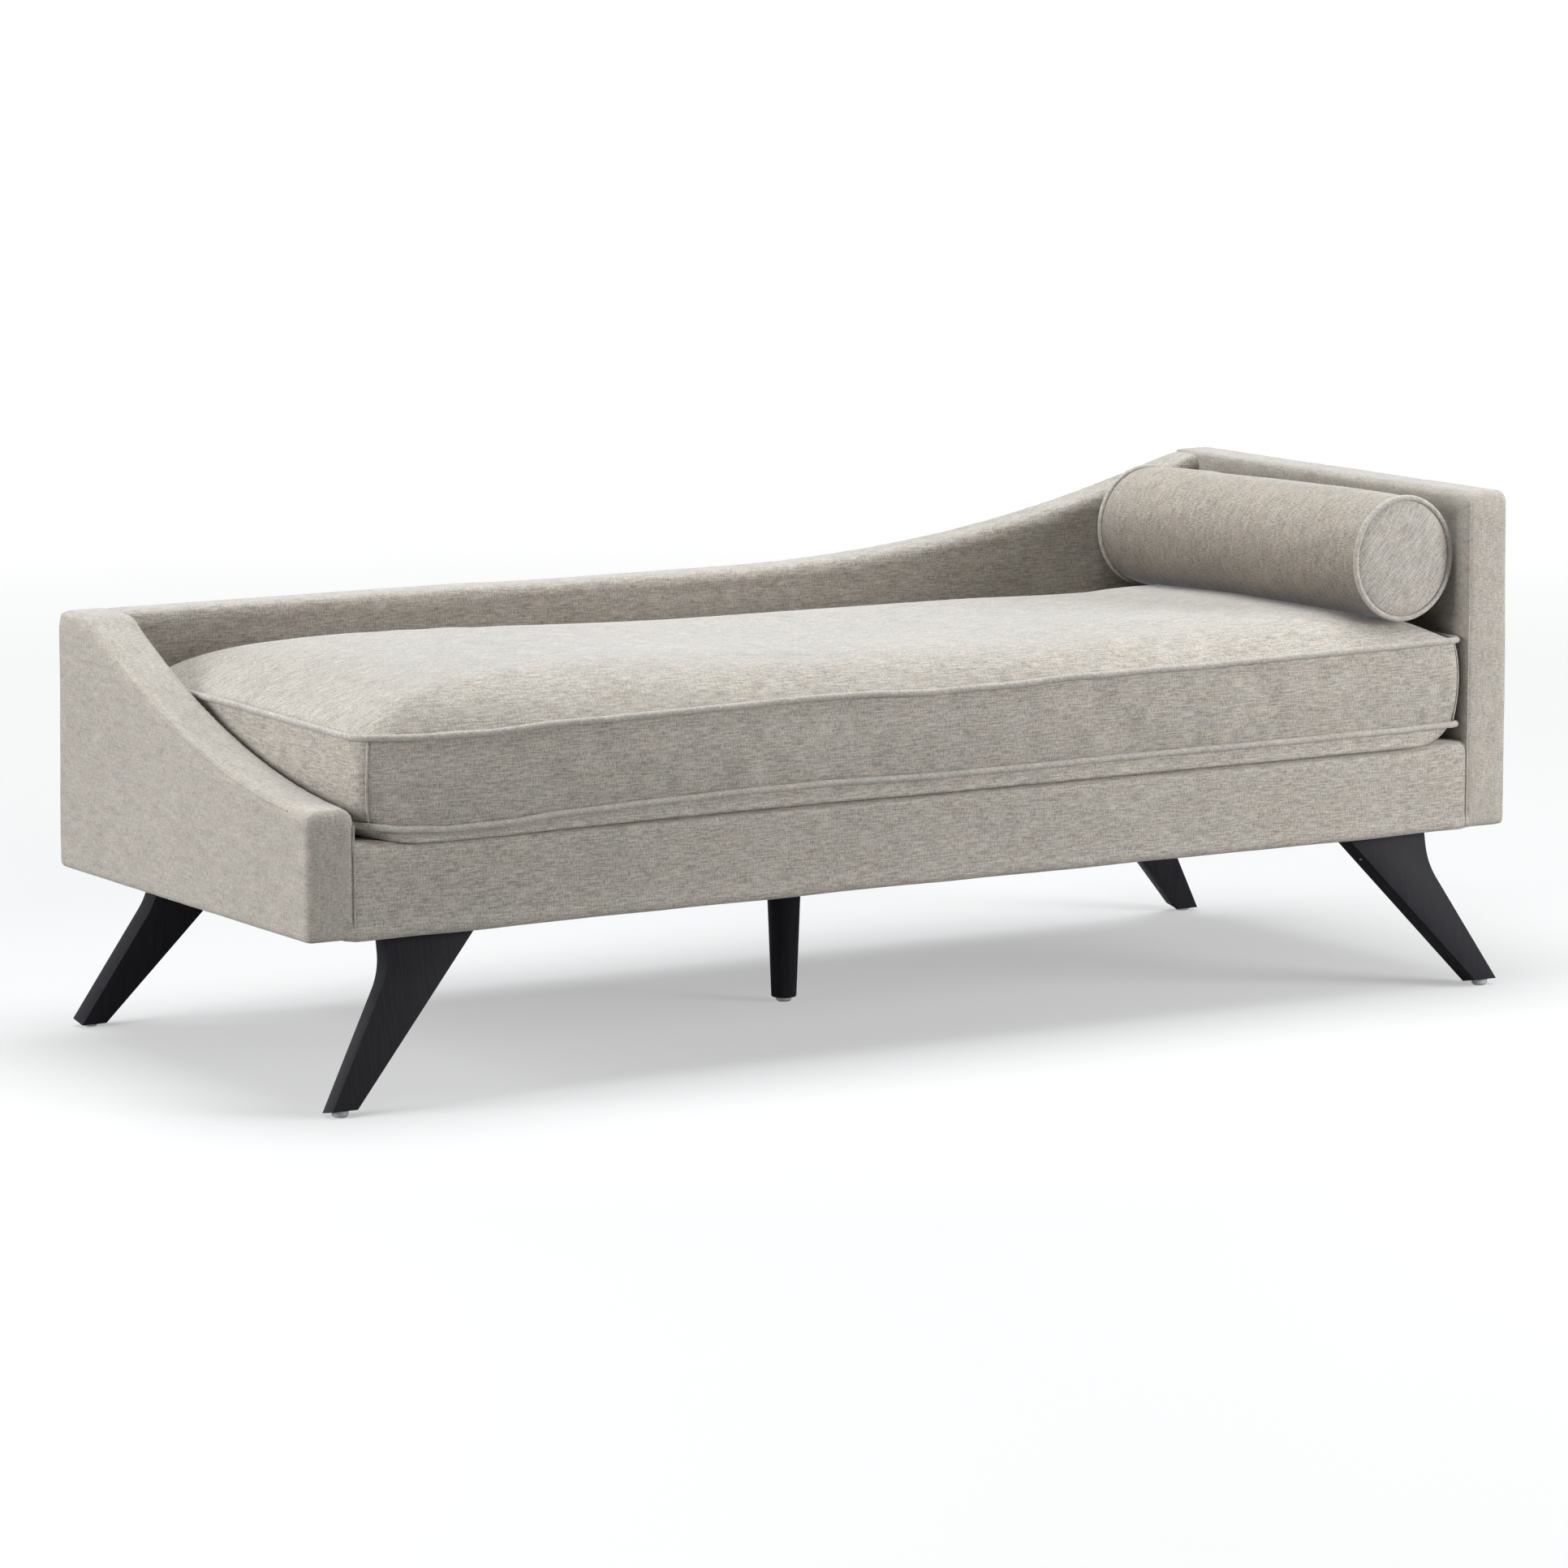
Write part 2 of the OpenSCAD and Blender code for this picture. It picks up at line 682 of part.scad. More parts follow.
module centre_leg() {
    color(espresso) difference() {
        translate([0, centre_y, glide_h])
            cylinder(d1 = centre_foot_d, d2 = centre_top_d, h = leg_top_z - glide_h, $fn = 64);
        translate([0, centre_y, leg_top_z - bolt_in_leg - 1])
            cylinder(d = bolt_d + 2 * fit_gap, h = bolt_in_leg + 10, $fn = 32);
    }
}

// Plastic glides: flat on the floor, their tops seated on the leaning feet
module glide_blank(height) {
    rotate_extrude($fn = 48)
        polygon([[0, 0], [glide_d / 2 - 2.5, 0], [glide_d / 2, 2.5], [glide_d / 2, height], [0, height]]);
}
module leg_glides() {
    foot_mid = leg_foot_out - leg_foot_w / 2;
    color(clear_plastic) {
        for (sx = [-1, 1], sy = [-1, 1])
            translate([sx * foot_mid, sy * foot_y, 0]) difference() {
                glide_blank(2 * glide_h);
                translate([0, 0, glide_h]) rotate([sy * leg_lean, 0, 0])
                    translate([-glide_d, -glide_d, 0]) cube(2 * glide_d);
            }
        translate([0, centre_y, 0]) glide_blank(glide_h);
    }
}

// Hanger bolts and the brass inserts that they screw into
module leg_bolts() {
    color(steel) on_bolt_axes() translate([0, 0, -bolt_in_leg])
        cylinder(d = bolt_d, h = bolt_in_leg + bolt_in_frame, $fn = 32);
}
module leg_inserts() {
    color(brass) on_bolt_axes() translate([0, 0, dust_t + 1]) difference() {
        cylinder(d = insert_d, h = insert_l, $fn = 32);
        translate([0, 0, -1]) cylinder(d = bolt_d + 2 * fit_gap, h = insert_l + 2, $fn = 32);
    }
}

// Seat cushion: half sizes at the welt line, and the heights of its welts
welt_stand = welt_d + 0.1;
cushion_half_l = seat_half_l - cushion_gap - welt_stand;
cushion_front = -half_d + cushion_setback + welt_stand;
cushion_back = back_face_y - cushion_back_gap - welt_stand;
cushion_half_d = (cushion_back - cushion_front) / 2;
cushion_y = (cushion_back + cushion_front) / 2;
rest_gap = 0.3;
bottom_welt_z = deck_z + rest_gap + belly_h;
top_welt_z = bottom_welt_z + boxing_h;
belly_power = 14;
// The crown's height and squareness at three places along the cushion
crown_places = [-0.6 * cushion_half_l, 0, cushion_half_l];
crown_heights = [crown_h, crown_mid_h, crown_head_h];
crown_powers = [7, 11, 18];
zip_band = 30;

core_low = bottom_welt_z + fabric_t;
core_high = top_welt_z - fabric_t;
zip_slot = 5;
zip_y = cushion_back + side_swell;
zip_z = bottom_welt_z + boxing_h / 2;

function along_crown(x, values) = lookup(x, [for (i = [0 : len(values) - 1]) [crown_places[i], values[i]]]);
function cushion_top_z(share, x) =
    top_welt_z + along_crown(x, crown_heights) * (1 - pow(share, along_crown(x, crown_powers)));
function belly_z(share) =
    bottom_welt_z - belly_h * (1 - pow(share, belly_power)) / (1 - pow(belly_shares[0], belly_power));

// Rounded rectangle in plan with points along its straight sides
function plan_side(a, b, n) = [for (i = [1 : n - 1]) a + (b - a) * i / n];
function plan_corner(x, y, r, a0) = [for (i = [0 : 5]) [x + r * cos(a0 + 18 * i), y + r * sin(a0 + 18 * i)]];
function plan_loop(hx, hy, r) = let (x = hx - r, y = hy - r) concat(
    plan_corner(x, y, r, 0),
    plan_side([x, hy], [-x, hy], 6),
    plan_corner(-x, y, r, 90),
    plan_side([-hx, y], [-hx, -y], 3),
    plan_corner(-x, -y, r, 180),
    plan_side([-x, -hy], [x, -hy], 6),
    plan_corner(x, -y, r, 270),
    plan_side([hx, -y], [hx, y], 3));

// Loops of the cushion from belly to crown, inset by the given wall
belly_shares = [0.82, 0.92, 0.96, 0.985];
zip_share = zip_band / 2 / boxing_h;
boxing_rows = [[0, 0], [0.12, 0.55], [0.5 - zip_share, 1], [0.5 + zip_share, 1], [0.88, 0.55], [1, 0]];
crown_shares = [0.98, 0.94, 0.88, 0.78, 0.6, 0.02];

function cushion_plan(swell, inset) =
    plan_loop(
        cushion_half_l + swell * end_swell - inset,
        cushion_half_d + swell * side_swell - inset,
        cushion_r - inset);
function cushion_loop(share, swell, z, inset) =
    [for (p = cushion_plan(swell, inset)) [p[0] * share, cushion_y + p[1] * share, z]];
function crown_loop(share, inset) =
    [for (p = share * cushion_plan(0, inset)) [p[0], cushion_y + p[1], cushion_top_z(share, p[0]) - inset]];
function cushion_loops(inset) = concat(
    [for (s = belly_shares)
        cushion_loop(s, 0, belly_z(s) + inset, inset)],
    [for (row = boxing_rows)
        cushion_loop(1, row[1], bottom_welt_z + inset * (1 - 2 * row[0]) + boxing_h * row[0], inset)],
    [for (s = crown_shares) crown_loop(s, inset)]);

module seat_cushion_cover() {
    color(greige_light) difference() {
        lofted(cushion_loops(0));
        lofted(cushion_loops(fabric_t));
        translate([0, zip_y, zip_z]) cube([zip_l - 20, 4 * fabric_t, zip_slot], center = true);
    }
}
// Foam block, wrapped in fibre above, below, in front and at both ends
module core_block(behind) {
    hx = cushion_half_l - core_inset;
    hy = cushion_half_d - core_inset / 2 - fabric_t;
    r = cushion_r;
    translate([0, cushion_y + core_inset / 2 - fabric_t, core_low]) linear_extrude(core_high - core_low) {
        square([2 * hx, 2 * (hy - r)], center = true);
        square([2 * (hx - r), 2 * hy], center = true);
        for (sx = [-1, 1], sy = [-1, 1]) translate([sx * (hx - r), sy * (hy - r)]) circle(r = r, $fn = 48);
        translate([-hx + r, 0]) square([2 * (hx - r), hy + behind]);
    }
}
module seat_cushion_fibre() {
    color(fibre_white) difference() {
        lofted(cushion_loops(fabric_t));
        core_block(core_inset);
    }
}
module seat_cushion_core() {
    color(foam_white) core_block(0);
}

// Welt: a cord in a fabric tube, sewn round the cushion on its edge
module cushion_welt(z) {
    hx = cushion_half_l + welt_stand / 2;
    hy = cushion_half_d + welt_stand / 2;
    r = cushion_r + welt_stand / 2;
    translate([0, cushion_y, z]) {
        for (sy = [-1, 1]) translate([0, sy * hy, 0]) rotate([0, 90, 0])
            cylinder(d = welt_d, h = 2 * (hx - r), center = true, $fn = 24);
        for (sx = [-1, 1]) translate([sx * hx, 0, 0]) rotate([90, 0, 0])
            cylinder(d = welt_d, h = 2 * (hy - r), center = true, $fn = 24);
        for (k = [0 : 3]) translate([(k == 0 || k == 3 ? 1 : -1) * (hx - r), (k < 2 ? 1 : -1) * (hy - r), 0])
            rotate([0, 0, 90 * k]) rotate_extrude(angle = 90, $fn = 48)
                translate([r, 0]) circle(d = welt_d, $fn = 24);
    }
}
module seat_cushion_top_welt() {
    color(greige_light) cushion_welt(top_welt_z);
}
module seat_cushion_bottom_welt() {
    color(greige_light) cushion_welt(bottom_welt_z);
}
module seat_cushion_zip() {
    tape_w = zip_band - 6;
    color(greige) {
        translate([-zip_l / 2, zip_y, zip_z - tape_w / 2]) cube([zip_l, 0.8, tape_w]);
        translate([-zip_l / 2, zip_y + 0.8, zip_z - zip_slot / 2]) cube([zip_l, 1.2, zip_slot]);
        translate([-zip_l / 2 + 12, zip_y + 2, zip_z - 4]) cube([22, 1.8, 8]);
    }
}

// Bolster: seated on the crown beside the head end
bolster_r = bolster_d / 2;
bolster_out_r = bolster_r + 3;
bolster_x = seat_half_l - bolster_gap - bolster_out_r;
bolster_back = back_face_y - cushion_back_gap;
bolster_l = bolster_back + half_d - bolster_setback;
bolster_y = bolster_back - bolster_l / 2;
crown_line = [for (s = concat([1], crown_shares)) [s * cushion_half_l, cushion_top_z(s, s * cushion_half_l)]];
bolster_z = rest_gap + max([for (d = [-80 : 2 : 20])
    lookup(bolster_x + d, crown_line) + sqrt(pow(bolster_r, 2) - pow(d, 2))]);
bolster_welt_r = bolster_out_r - bolster_welt_d / 2;

// Turned section about the bolster's own axis, which lies along Y
module on_bolster() {
    translate([bolster_x, bolster_y, bolster_z]) rotate([90, 0, 0]) children();
}
bolster_body_l = bolster_l - 2 * bolster_welt_d;
cap_dome = 5;
module bolster_form(inset) {
    half = bolster_body_l / 2 - inset;
    cap_r = bolster_welt_r - bolster_welt_d / 2 - inset;
    dome_r = (pow(cap_r, 2) + pow(cap_dome, 2)) / (2 * cap_dome);
    rotate_extrude($fn = 96) {
        translate([0, -half]) square([bolster_r - inset, 2 * half]);
        for (side = [-1, 1]) intersection() {
            translate([0, side * (half + cap_dome - dome_r)]) circle(r = dome_r, $fn = 360);
            translate([0, side < 0 ? -half - cap_dome - 1 : half - 1]) square([cap_r, cap_dome + 2]);
        }
    }
}
module bolster_cover() {
    color(greige) on_bolster() difference() {
        bolster_form(0);
        bolster_form(fabric_t);
    }
}
module bolster_core() {
    color(fibre_white) on_bolster() bolster_form(fabric_t);
}
module bolster_welt(side) {
    on_bolster() translate([0, 0, side * (bolster_body_l + bolster_welt_d) / 2])
        rotate_extrude($fn = 96) translate([bolster_welt_r, 0]) circle(d = bolster_welt_d, $fn = 24);
}
module bolster_front_welt() {
    color(greige_light) bolster_welt(1);
}
module bolster_rear_welt() {
    color(greige_light) bolster_welt(-1);
}
module bolster_zip() {
    color(greige) on_bolster() rotate([0, 0, -52]) translate([0, 0, -bolster_zip_l / 2])
        rotate_extrude(angle = 12, $fn = 96) translate([bolster_r, 0]) square([1.2, bolster_zip_l]);
}

foot_end_bottom_rail();
foot_end_top_rail();
foot_end_posts();
foot_end_skins();
foot_end_foam();
foot_end_cover();
head_end_bottom_rail();
head_end_top_rail();
head_end_posts();
head_end_skins();
head_end_foam();
head_end_cover();
back_bottom_rail();
back_top_rail();
back_posts();
back_skins();
back_foam();
back_cover();
front_rail_board();
rear_seat_rail();
end_seat_rails();
cross_members();
leg_blocks();
centre_leg_block();
frame_screws();
front_rail_foam();
front_rail_cover();
cross_webbing();
long_webbing();
deck_pad();
deck_cloth();
dust_cover();
foot_front_leg();
foot_rear_leg();
head_front_leg();
head_rear_leg();
centre_leg();
leg_glides();
leg_bolts();
leg_inserts();
seat_cushion_cover();
seat_cushion_fibre();
seat_cushion_core();
seat_cushion_top_welt();
seat_cushion_bottom_welt();
seat_cushion_zip();
bolster_cover();
bolster_core();
bolster_front_welt();
bolster_rear_welt();
bolster_zip();
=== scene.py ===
"""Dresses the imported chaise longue: upholstery, cushion, bolster, legs and studio."""

import json
import logging
import math
from collections.abc import Callable, Iterable, Sequence
from dataclasses import dataclass, field
from enum import Enum

import bmesh
import bpy
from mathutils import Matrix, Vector, noise

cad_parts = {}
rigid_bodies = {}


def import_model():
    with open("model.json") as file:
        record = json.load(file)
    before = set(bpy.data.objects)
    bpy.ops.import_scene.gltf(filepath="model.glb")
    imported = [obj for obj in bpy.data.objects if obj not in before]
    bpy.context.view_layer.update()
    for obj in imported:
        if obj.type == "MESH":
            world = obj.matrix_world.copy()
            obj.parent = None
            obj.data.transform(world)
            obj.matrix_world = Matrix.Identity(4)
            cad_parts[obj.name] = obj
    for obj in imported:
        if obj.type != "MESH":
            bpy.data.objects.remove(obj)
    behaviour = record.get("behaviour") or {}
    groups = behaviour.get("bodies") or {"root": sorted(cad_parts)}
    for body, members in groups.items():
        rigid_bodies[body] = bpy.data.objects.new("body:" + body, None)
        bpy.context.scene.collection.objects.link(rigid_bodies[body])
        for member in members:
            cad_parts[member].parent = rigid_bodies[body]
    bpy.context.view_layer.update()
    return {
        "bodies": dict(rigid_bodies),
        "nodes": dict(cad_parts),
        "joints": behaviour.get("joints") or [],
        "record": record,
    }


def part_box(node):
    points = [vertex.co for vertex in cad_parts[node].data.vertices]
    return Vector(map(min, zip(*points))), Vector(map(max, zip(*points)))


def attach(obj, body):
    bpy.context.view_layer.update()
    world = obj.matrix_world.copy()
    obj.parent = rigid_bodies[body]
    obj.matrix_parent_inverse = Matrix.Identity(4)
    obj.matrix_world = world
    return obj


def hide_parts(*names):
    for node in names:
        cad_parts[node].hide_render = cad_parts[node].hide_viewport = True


REPORT = logging.getLogger("chaise")
MM = 0.001
DOUBLED = 0.01 * MM

ALONG, ACROSS, UP = Vector((1, 0, 0)), Vector((0, 1, 0)), Vector((0, 0, 1))

Triple = tuple[float, float, float]
Colour = tuple[float, float, float]
Loop = list[Vector]


class End(Enum):
    """The two ends of the body, by the side of the middle that they stand on."""

    FOOT = -1
    HEAD = 1


class Grain(Enum):
    """How the weft lies on a piece of upholstery."""

    LEVEL = "level"
    UPRIGHT = "upright"
    WRAPPED = "wrapped"


# Working with Blender's tools


def deselect_all() -> None:
    """Deselects every object, the frame's nodes too."""
    bpy.ops.object.select_all(action="DESELECT")


def only(piece: bpy.types.Object) -> None:
    """Makes one piece the selected and active object.

    Args:
        piece: the object to work on.
    """
    deselect_all()
    piece.select_set(True)
    bpy.context.view_layer.objects.active = piece


def settle(piece: bpy.types.Object) -> None:
    """Puts a piece's place, turn and scale into its mesh."""
    only(piece)
    bpy.ops.object.transform_apply(location=True, rotation=True, scale=True)


def placed(name: str, data: bpy.types.ID) -> bpy.types.Object:
    """Puts a mesh, a lamp or a camera into the scene.

    Args:
        name: the new object's name.
        data: what it shows.

    Returns:
        The object.
    """
    thing = bpy.data.objects.new(name, data)
    bpy.context.scene.collection.objects.link(thing)
    return thing


def look(thing: bpy.types.Object, place: Vector, aim: Vector) -> None:
    """Stands a lamp or a camera at a place and turns it towards another."""
    thing.location = place
    thing.rotation_euler = (aim - place).to_track_quat("-Z", "Y").to_euler()


def apply_modifier(piece: bpy.types.Object, kind: str, **settings: object) -> None:
    """Adds one modifier to a piece and applies it.

    Args:
        piece: the object to change.
        kind: Blender's type of modifier.
        settings: the modifier's own settings.
    """
    only(piece)
    modifier = piece.modifiers.new(kind.title(), kind)
    for name, value in settings.items():
        setattr(modifier, name, value)
    bpy.ops.object.modifier_apply(modifier=modifier.name)


def close_form(piece: bpy.types.Object) -> None:
    """Merges a form's doubled edges, closes its ends and points its faces outwards.

    Args:
        piece: the object to close.
    """
    only(piece)
    bpy.ops.object.mode_set(mode="EDIT")
    bpy.ops.mesh.select_all(action="SELECT")
    bpy.ops.mesh.remove_doubles(threshold=DOUBLED)
    bpy.ops.mesh.select_all(action="DESELECT")
    bpy.ops.mesh.select_non_manifold()
    bpy.ops.mesh.fill_holes(sides=0)
    bpy.ops.mesh.select_all(action="SELECT")
    bpy.ops.mesh.normals_make_consistent(inside=False)
    bpy.ops.object.mode_set(mode="OBJECT")


def smooth(piece: bpy.types.Object, angle: float = 180) -> None:
    """Shades a piece smooth, apart from edges sharper than an angle in degrees."""
    only(piece)
    bpy.ops.object.shade_smooth_by_angle(angle=math.radians(angle))


def lofted(name: str, loops: Sequence[Loop], closed: bool = False) -> bpy.types.Object:
    """Wraps a grid into a form that runs through equal closed loops.

    Args:
        name: the new piece's name.
        loops: the loops, each a list of points round the form.
        closed: whether the last loop joins the first.

    Returns:
        The piece, its UV map in metres round and along the form.
    """
    rows = list(loops) + [loops[0]] if closed else list(loops)
    around = len(rows[0])
    along = len(rows) - 1
    deselect_all()
    bpy.ops.mesh.primitive_grid_add(x_subdivisions=around, y_subdivisions=along, size=2)
    piece = bpy.context.object
    piece.name = name
    for vertex in piece.data.vertices:
        column = round((vertex.co.x + 1) / 2 * around) % around
        row = round((vertex.co.y + 1) / 2 * along)
        vertex.co = rows[row][column]
    girth = max(sum((a - b).length for a, b in zip(row, row[1:] + row[:1])) for row in rows)
    length = sum((a[0] - b[0]).length for a, b in zip(rows, rows[1:]))
    for corner in piece.data.uv_layers.active.data:
        corner.uv = (corner.uv[1] * length, corner.uv[0] * girth)
    close_form(piece)
    return piece


def soften(piece: bpy.types.Object, cell: float, passes: int) -> None:
    """Gives a form an even mesh of the given cell and smooths it a number of times."""
    apply_modifier(piece, "REMESH", mode="VOXEL", voxel_size=cell, use_smooth_shade=True)
    apply_modifier(piece, "SMOOTH", factor=0.5, iterations=passes)


def ripple(piece: bpy.types.Object, height: Callable[[Vector, Vector], float]) -> None:
    """Moves each point of a piece along its normal.

    Args:
        piece: the object to change.
        height: gives the move for a point and its normal, in metres.
    """
    mesh = piece.data
    normals = [Vector(n.vector) for n in mesh.vertex_normals]
    for vertex, normal in zip(mesh.vertices, normals):
        vertex.co = vertex.co + normal * height(vertex.co, normal)
    mesh.update()


def wander(point: Vector, stretch: Triple, seed: float) -> float:
    """Smooth value from about -1 to 1 at a point, by the waves to a metre along each axis."""
    x, y, z = (value * waves for value, waves in zip(point, stretch))
    return noise.noise(Vector((x + seed, y - seed, z)))


def spaced(low: float, high: float, count: int) -> list[float]:
    """Values at even steps from low to high, both counted in."""
    return [low + (high - low) * i / count for i in range(count + 1)]


def step_up(value: float, low: float, high: float) -> float:
    """Rises smoothly from 0 to 1 as a value goes from low to high."""
    share = min(max((value - low) / (high - low), 0), 1)
    return share * share * (3 - 2 * share)


def tube(
    name: str, path: Sequence[Vector], radius: float, up: Vector, closed: bool = False, sides: int = 8
) -> bpy.types.Object:
    """Lays a round tube along a path.

    Args:
        name: the new piece's name.
        path: points along the middle of the tube.
        radius: the tube's radius.
        up: a direction that is never along the path.
        closed: whether the path joins its start.
        sides: how many points each section has.

    Returns:
        The piece.
    """
    loops = []
    last = len(path) - 1
    turns = [2 * math.pi * k / sides for k in range(sides)]
    for i, point in enumerate(path):
        ahead = path[(i + 1) % len(path)] if closed or i < last else point
        behind = path[i - 1] if closed or i > 0 else point
        forward = (ahead - behind).normalized()
        side = forward.cross(up).normalized()
        rise = side.cross(forward)
        loops.append([point + radius * (math.cos(t) * side + math.sin(t) * rise) for t in turns])
    return lofted(name, loops, closed)


# Finishes


def shade(red: int, green: int, blue: int) -> Colour:
    """Turns a colour as a screen shows it into the linear one that shaders use."""
    values = (c / 255 for c in (red, green, blue))
    return tuple(c / 12.92 if c <= 0.04045 else ((c + 0.055) / 1.055) ** 2.4 for c in values)


def times(colour: Colour, share: float) -> tuple[float, float, float, float]:
    """Makes a colour lighter or darker, with full opacity."""
    return (*(min(c * share, 1) for c in colour), 1)


class NodeSheet:
    """The nodes of a material or a world, added and joined one by one."""

    def __init__(self, owner: bpy.types.Material | bpy.types.World) -> None:
        """Empties the nodes.

        Args:
            owner: the material or the world.
        """
        owner.use_nodes = True
        self.tree = owner.node_tree
        self.tree.nodes.clear()

    def add(self, kind: str, **settings: object) -> bpy.types.Node:
        """Adds a node and sets its properties.

        Args:
            kind: Blender's name for the node.
            settings: its properties.

        Returns:
            The node.
        """
        node = self.tree.nodes.new(kind)
        for name, value in settings.items():
            setattr(node, name, value)
        return node

    def join(self, source: bpy.types.NodeSocket, target: bpy.types.NodeSocket) -> None:
        """Links an output to an input."""
        self.tree.links.new(source, target)

    def maths(self, operation: str, *terms: object) -> bpy.types.NodeSocket:
        """Adds a maths node on sockets or numbers.

        Args:
            operation: Blender's name for the sum.
            terms: the sockets or numbers that go in.

        Returns:
            The result's socket.
        """
        node = self.add("ShaderNodeMath", operation=operation)
        for term, socket in zip(terms, node.inputs):
            if isinstance(term, (int, float)):
                socket.default_value = term
            else:
                self.join(term, socket)
        return node.outputs[0]


class ShaderSheet(NodeSheet):
    """A material's nodes round one surface shader."""

    def __init__(self, name: str) -> None:
        """Starts a material.

        Args:
            name: the material's name.
        """
        self.material = bpy.data.materials.new(name)
        super().__init__(self.material)
        self.surface = self.add("ShaderNodeBsdfPrincipled")
        output = self.add("ShaderNodeOutputMaterial")
        self.join(self.surface.outputs["BSDF"], output.inputs["Surface"])

    def set(self, **values: object) -> None:
        """Sets inputs of the surface, with underscores for spaces in their names."""
        for name, value in values.items():
            self.surface.inputs[name.replace("_", " ")].default_value = value

    def spread(
        self, vector: bpy.types.NodeSocket, scale: Sequence[float], turn: float = 0
    ) -> bpy.types.NodeSocket:
        """Scales a pattern's coordinates, and turns them in their own plane.

        Args:
            vector: the coordinates.
            scale: waves to a metre along each axis.
            turn: the turn, in degrees.

        Returns:
            The new coordinates.
        """
        turned = self.add("ShaderNodeMapping")
        turned.inputs["Rotation"].default_value = (0, 0, math.radians(turn))
        self.join(vector, turned.inputs["Vector"])
        scaled = self.add("ShaderNodeVectorMath", operation="MULTIPLY")
        scaled.inputs[1].default_value = scale
        self.join(turned.outputs[0], scaled.inputs[0])
        return scaled.outputs[0]

    def cloud(
        self, vector: bpy.types.NodeSocket, detail: float = 2, roughness: float = 0.6
    ) -> bpy.types.NodeSocket:
        """Adds a noise texture.

        Args:
            vector: its coordinates.
            detail: how many finer layers it has.
            roughness: how strong the finer layers are.

        Returns:
            The noise's value, from 0 to 1.
        """
        node = self.add("ShaderNodeTexNoise")
        node.inputs["Scale"].default_value = 1
        node.inputs["Detail"].default_value = detail
        node.inputs["Roughness"].default_value = roughness
        self.join(vector, node.inputs["Vector"])
        return node.outputs["Fac"]

    def between(
        self, value: bpy.types.NodeSocket, low: float, high: float, to: float = 1
    ) -> bpy.types.NodeSocket:
        """Maps a value's range onto 0 to a limit, and holds it there.

        Args:
            value: the value.
            low: what becomes 0.
            high: what becomes the limit.
            to: the limit.

        Returns:
            The mapped value.
        """
        node = self.add("ShaderNodeMapRange")
        for name, number in (("From Min", low), ("From Max", high), ("To Min", 0), ("To Max", to)):
            node.inputs[name].default_value = number
        self.join(value, node.inputs["Value"])
        return node.outputs["Result"]

    def blend(self, share: bpy.types.NodeSocket, first: object, second: object) -> bpy.types.NodeSocket:
        """Mixes two colours, each a socket or a plain colour.

        Args:
            share: the second colour's share, from 0 to 1.
            first: the first colour.
            second: the second colour.

        Returns:
            The mixed colour.
        """
        node = self.add("ShaderNodeMix", data_type="RGBA")
        for value, socket in zip((first, second), (s for s in node.inputs if s.type == "RGBA")):
            if isinstance(value, bpy.types.NodeSocket):
                self.join(value, socket)
            else:
                socket.default_value = value
        self.join(share, node.inputs["Factor"])
        return next(s for s in node.outputs if s.type == "RGBA")

    def emboss(self, height: bpy.types.NodeSocket, depth: float, strength: float) -> None:
        """Gives the surface a relief.

        Args:
            height: the relief's height, from 0 to 1.
            depth: the depth of the relief, in metres.
            strength: its share of the full effect.
        """
        bump = self.add("ShaderNodeBump")
        bump.inputs["Distance"].default_value = depth
        bump.inputs["Strength"].default_value = strength
        self.join(height, bump.inputs["Height"])
        self.join(bump.outputs["Normal"], self.surface.inputs["Normal"])


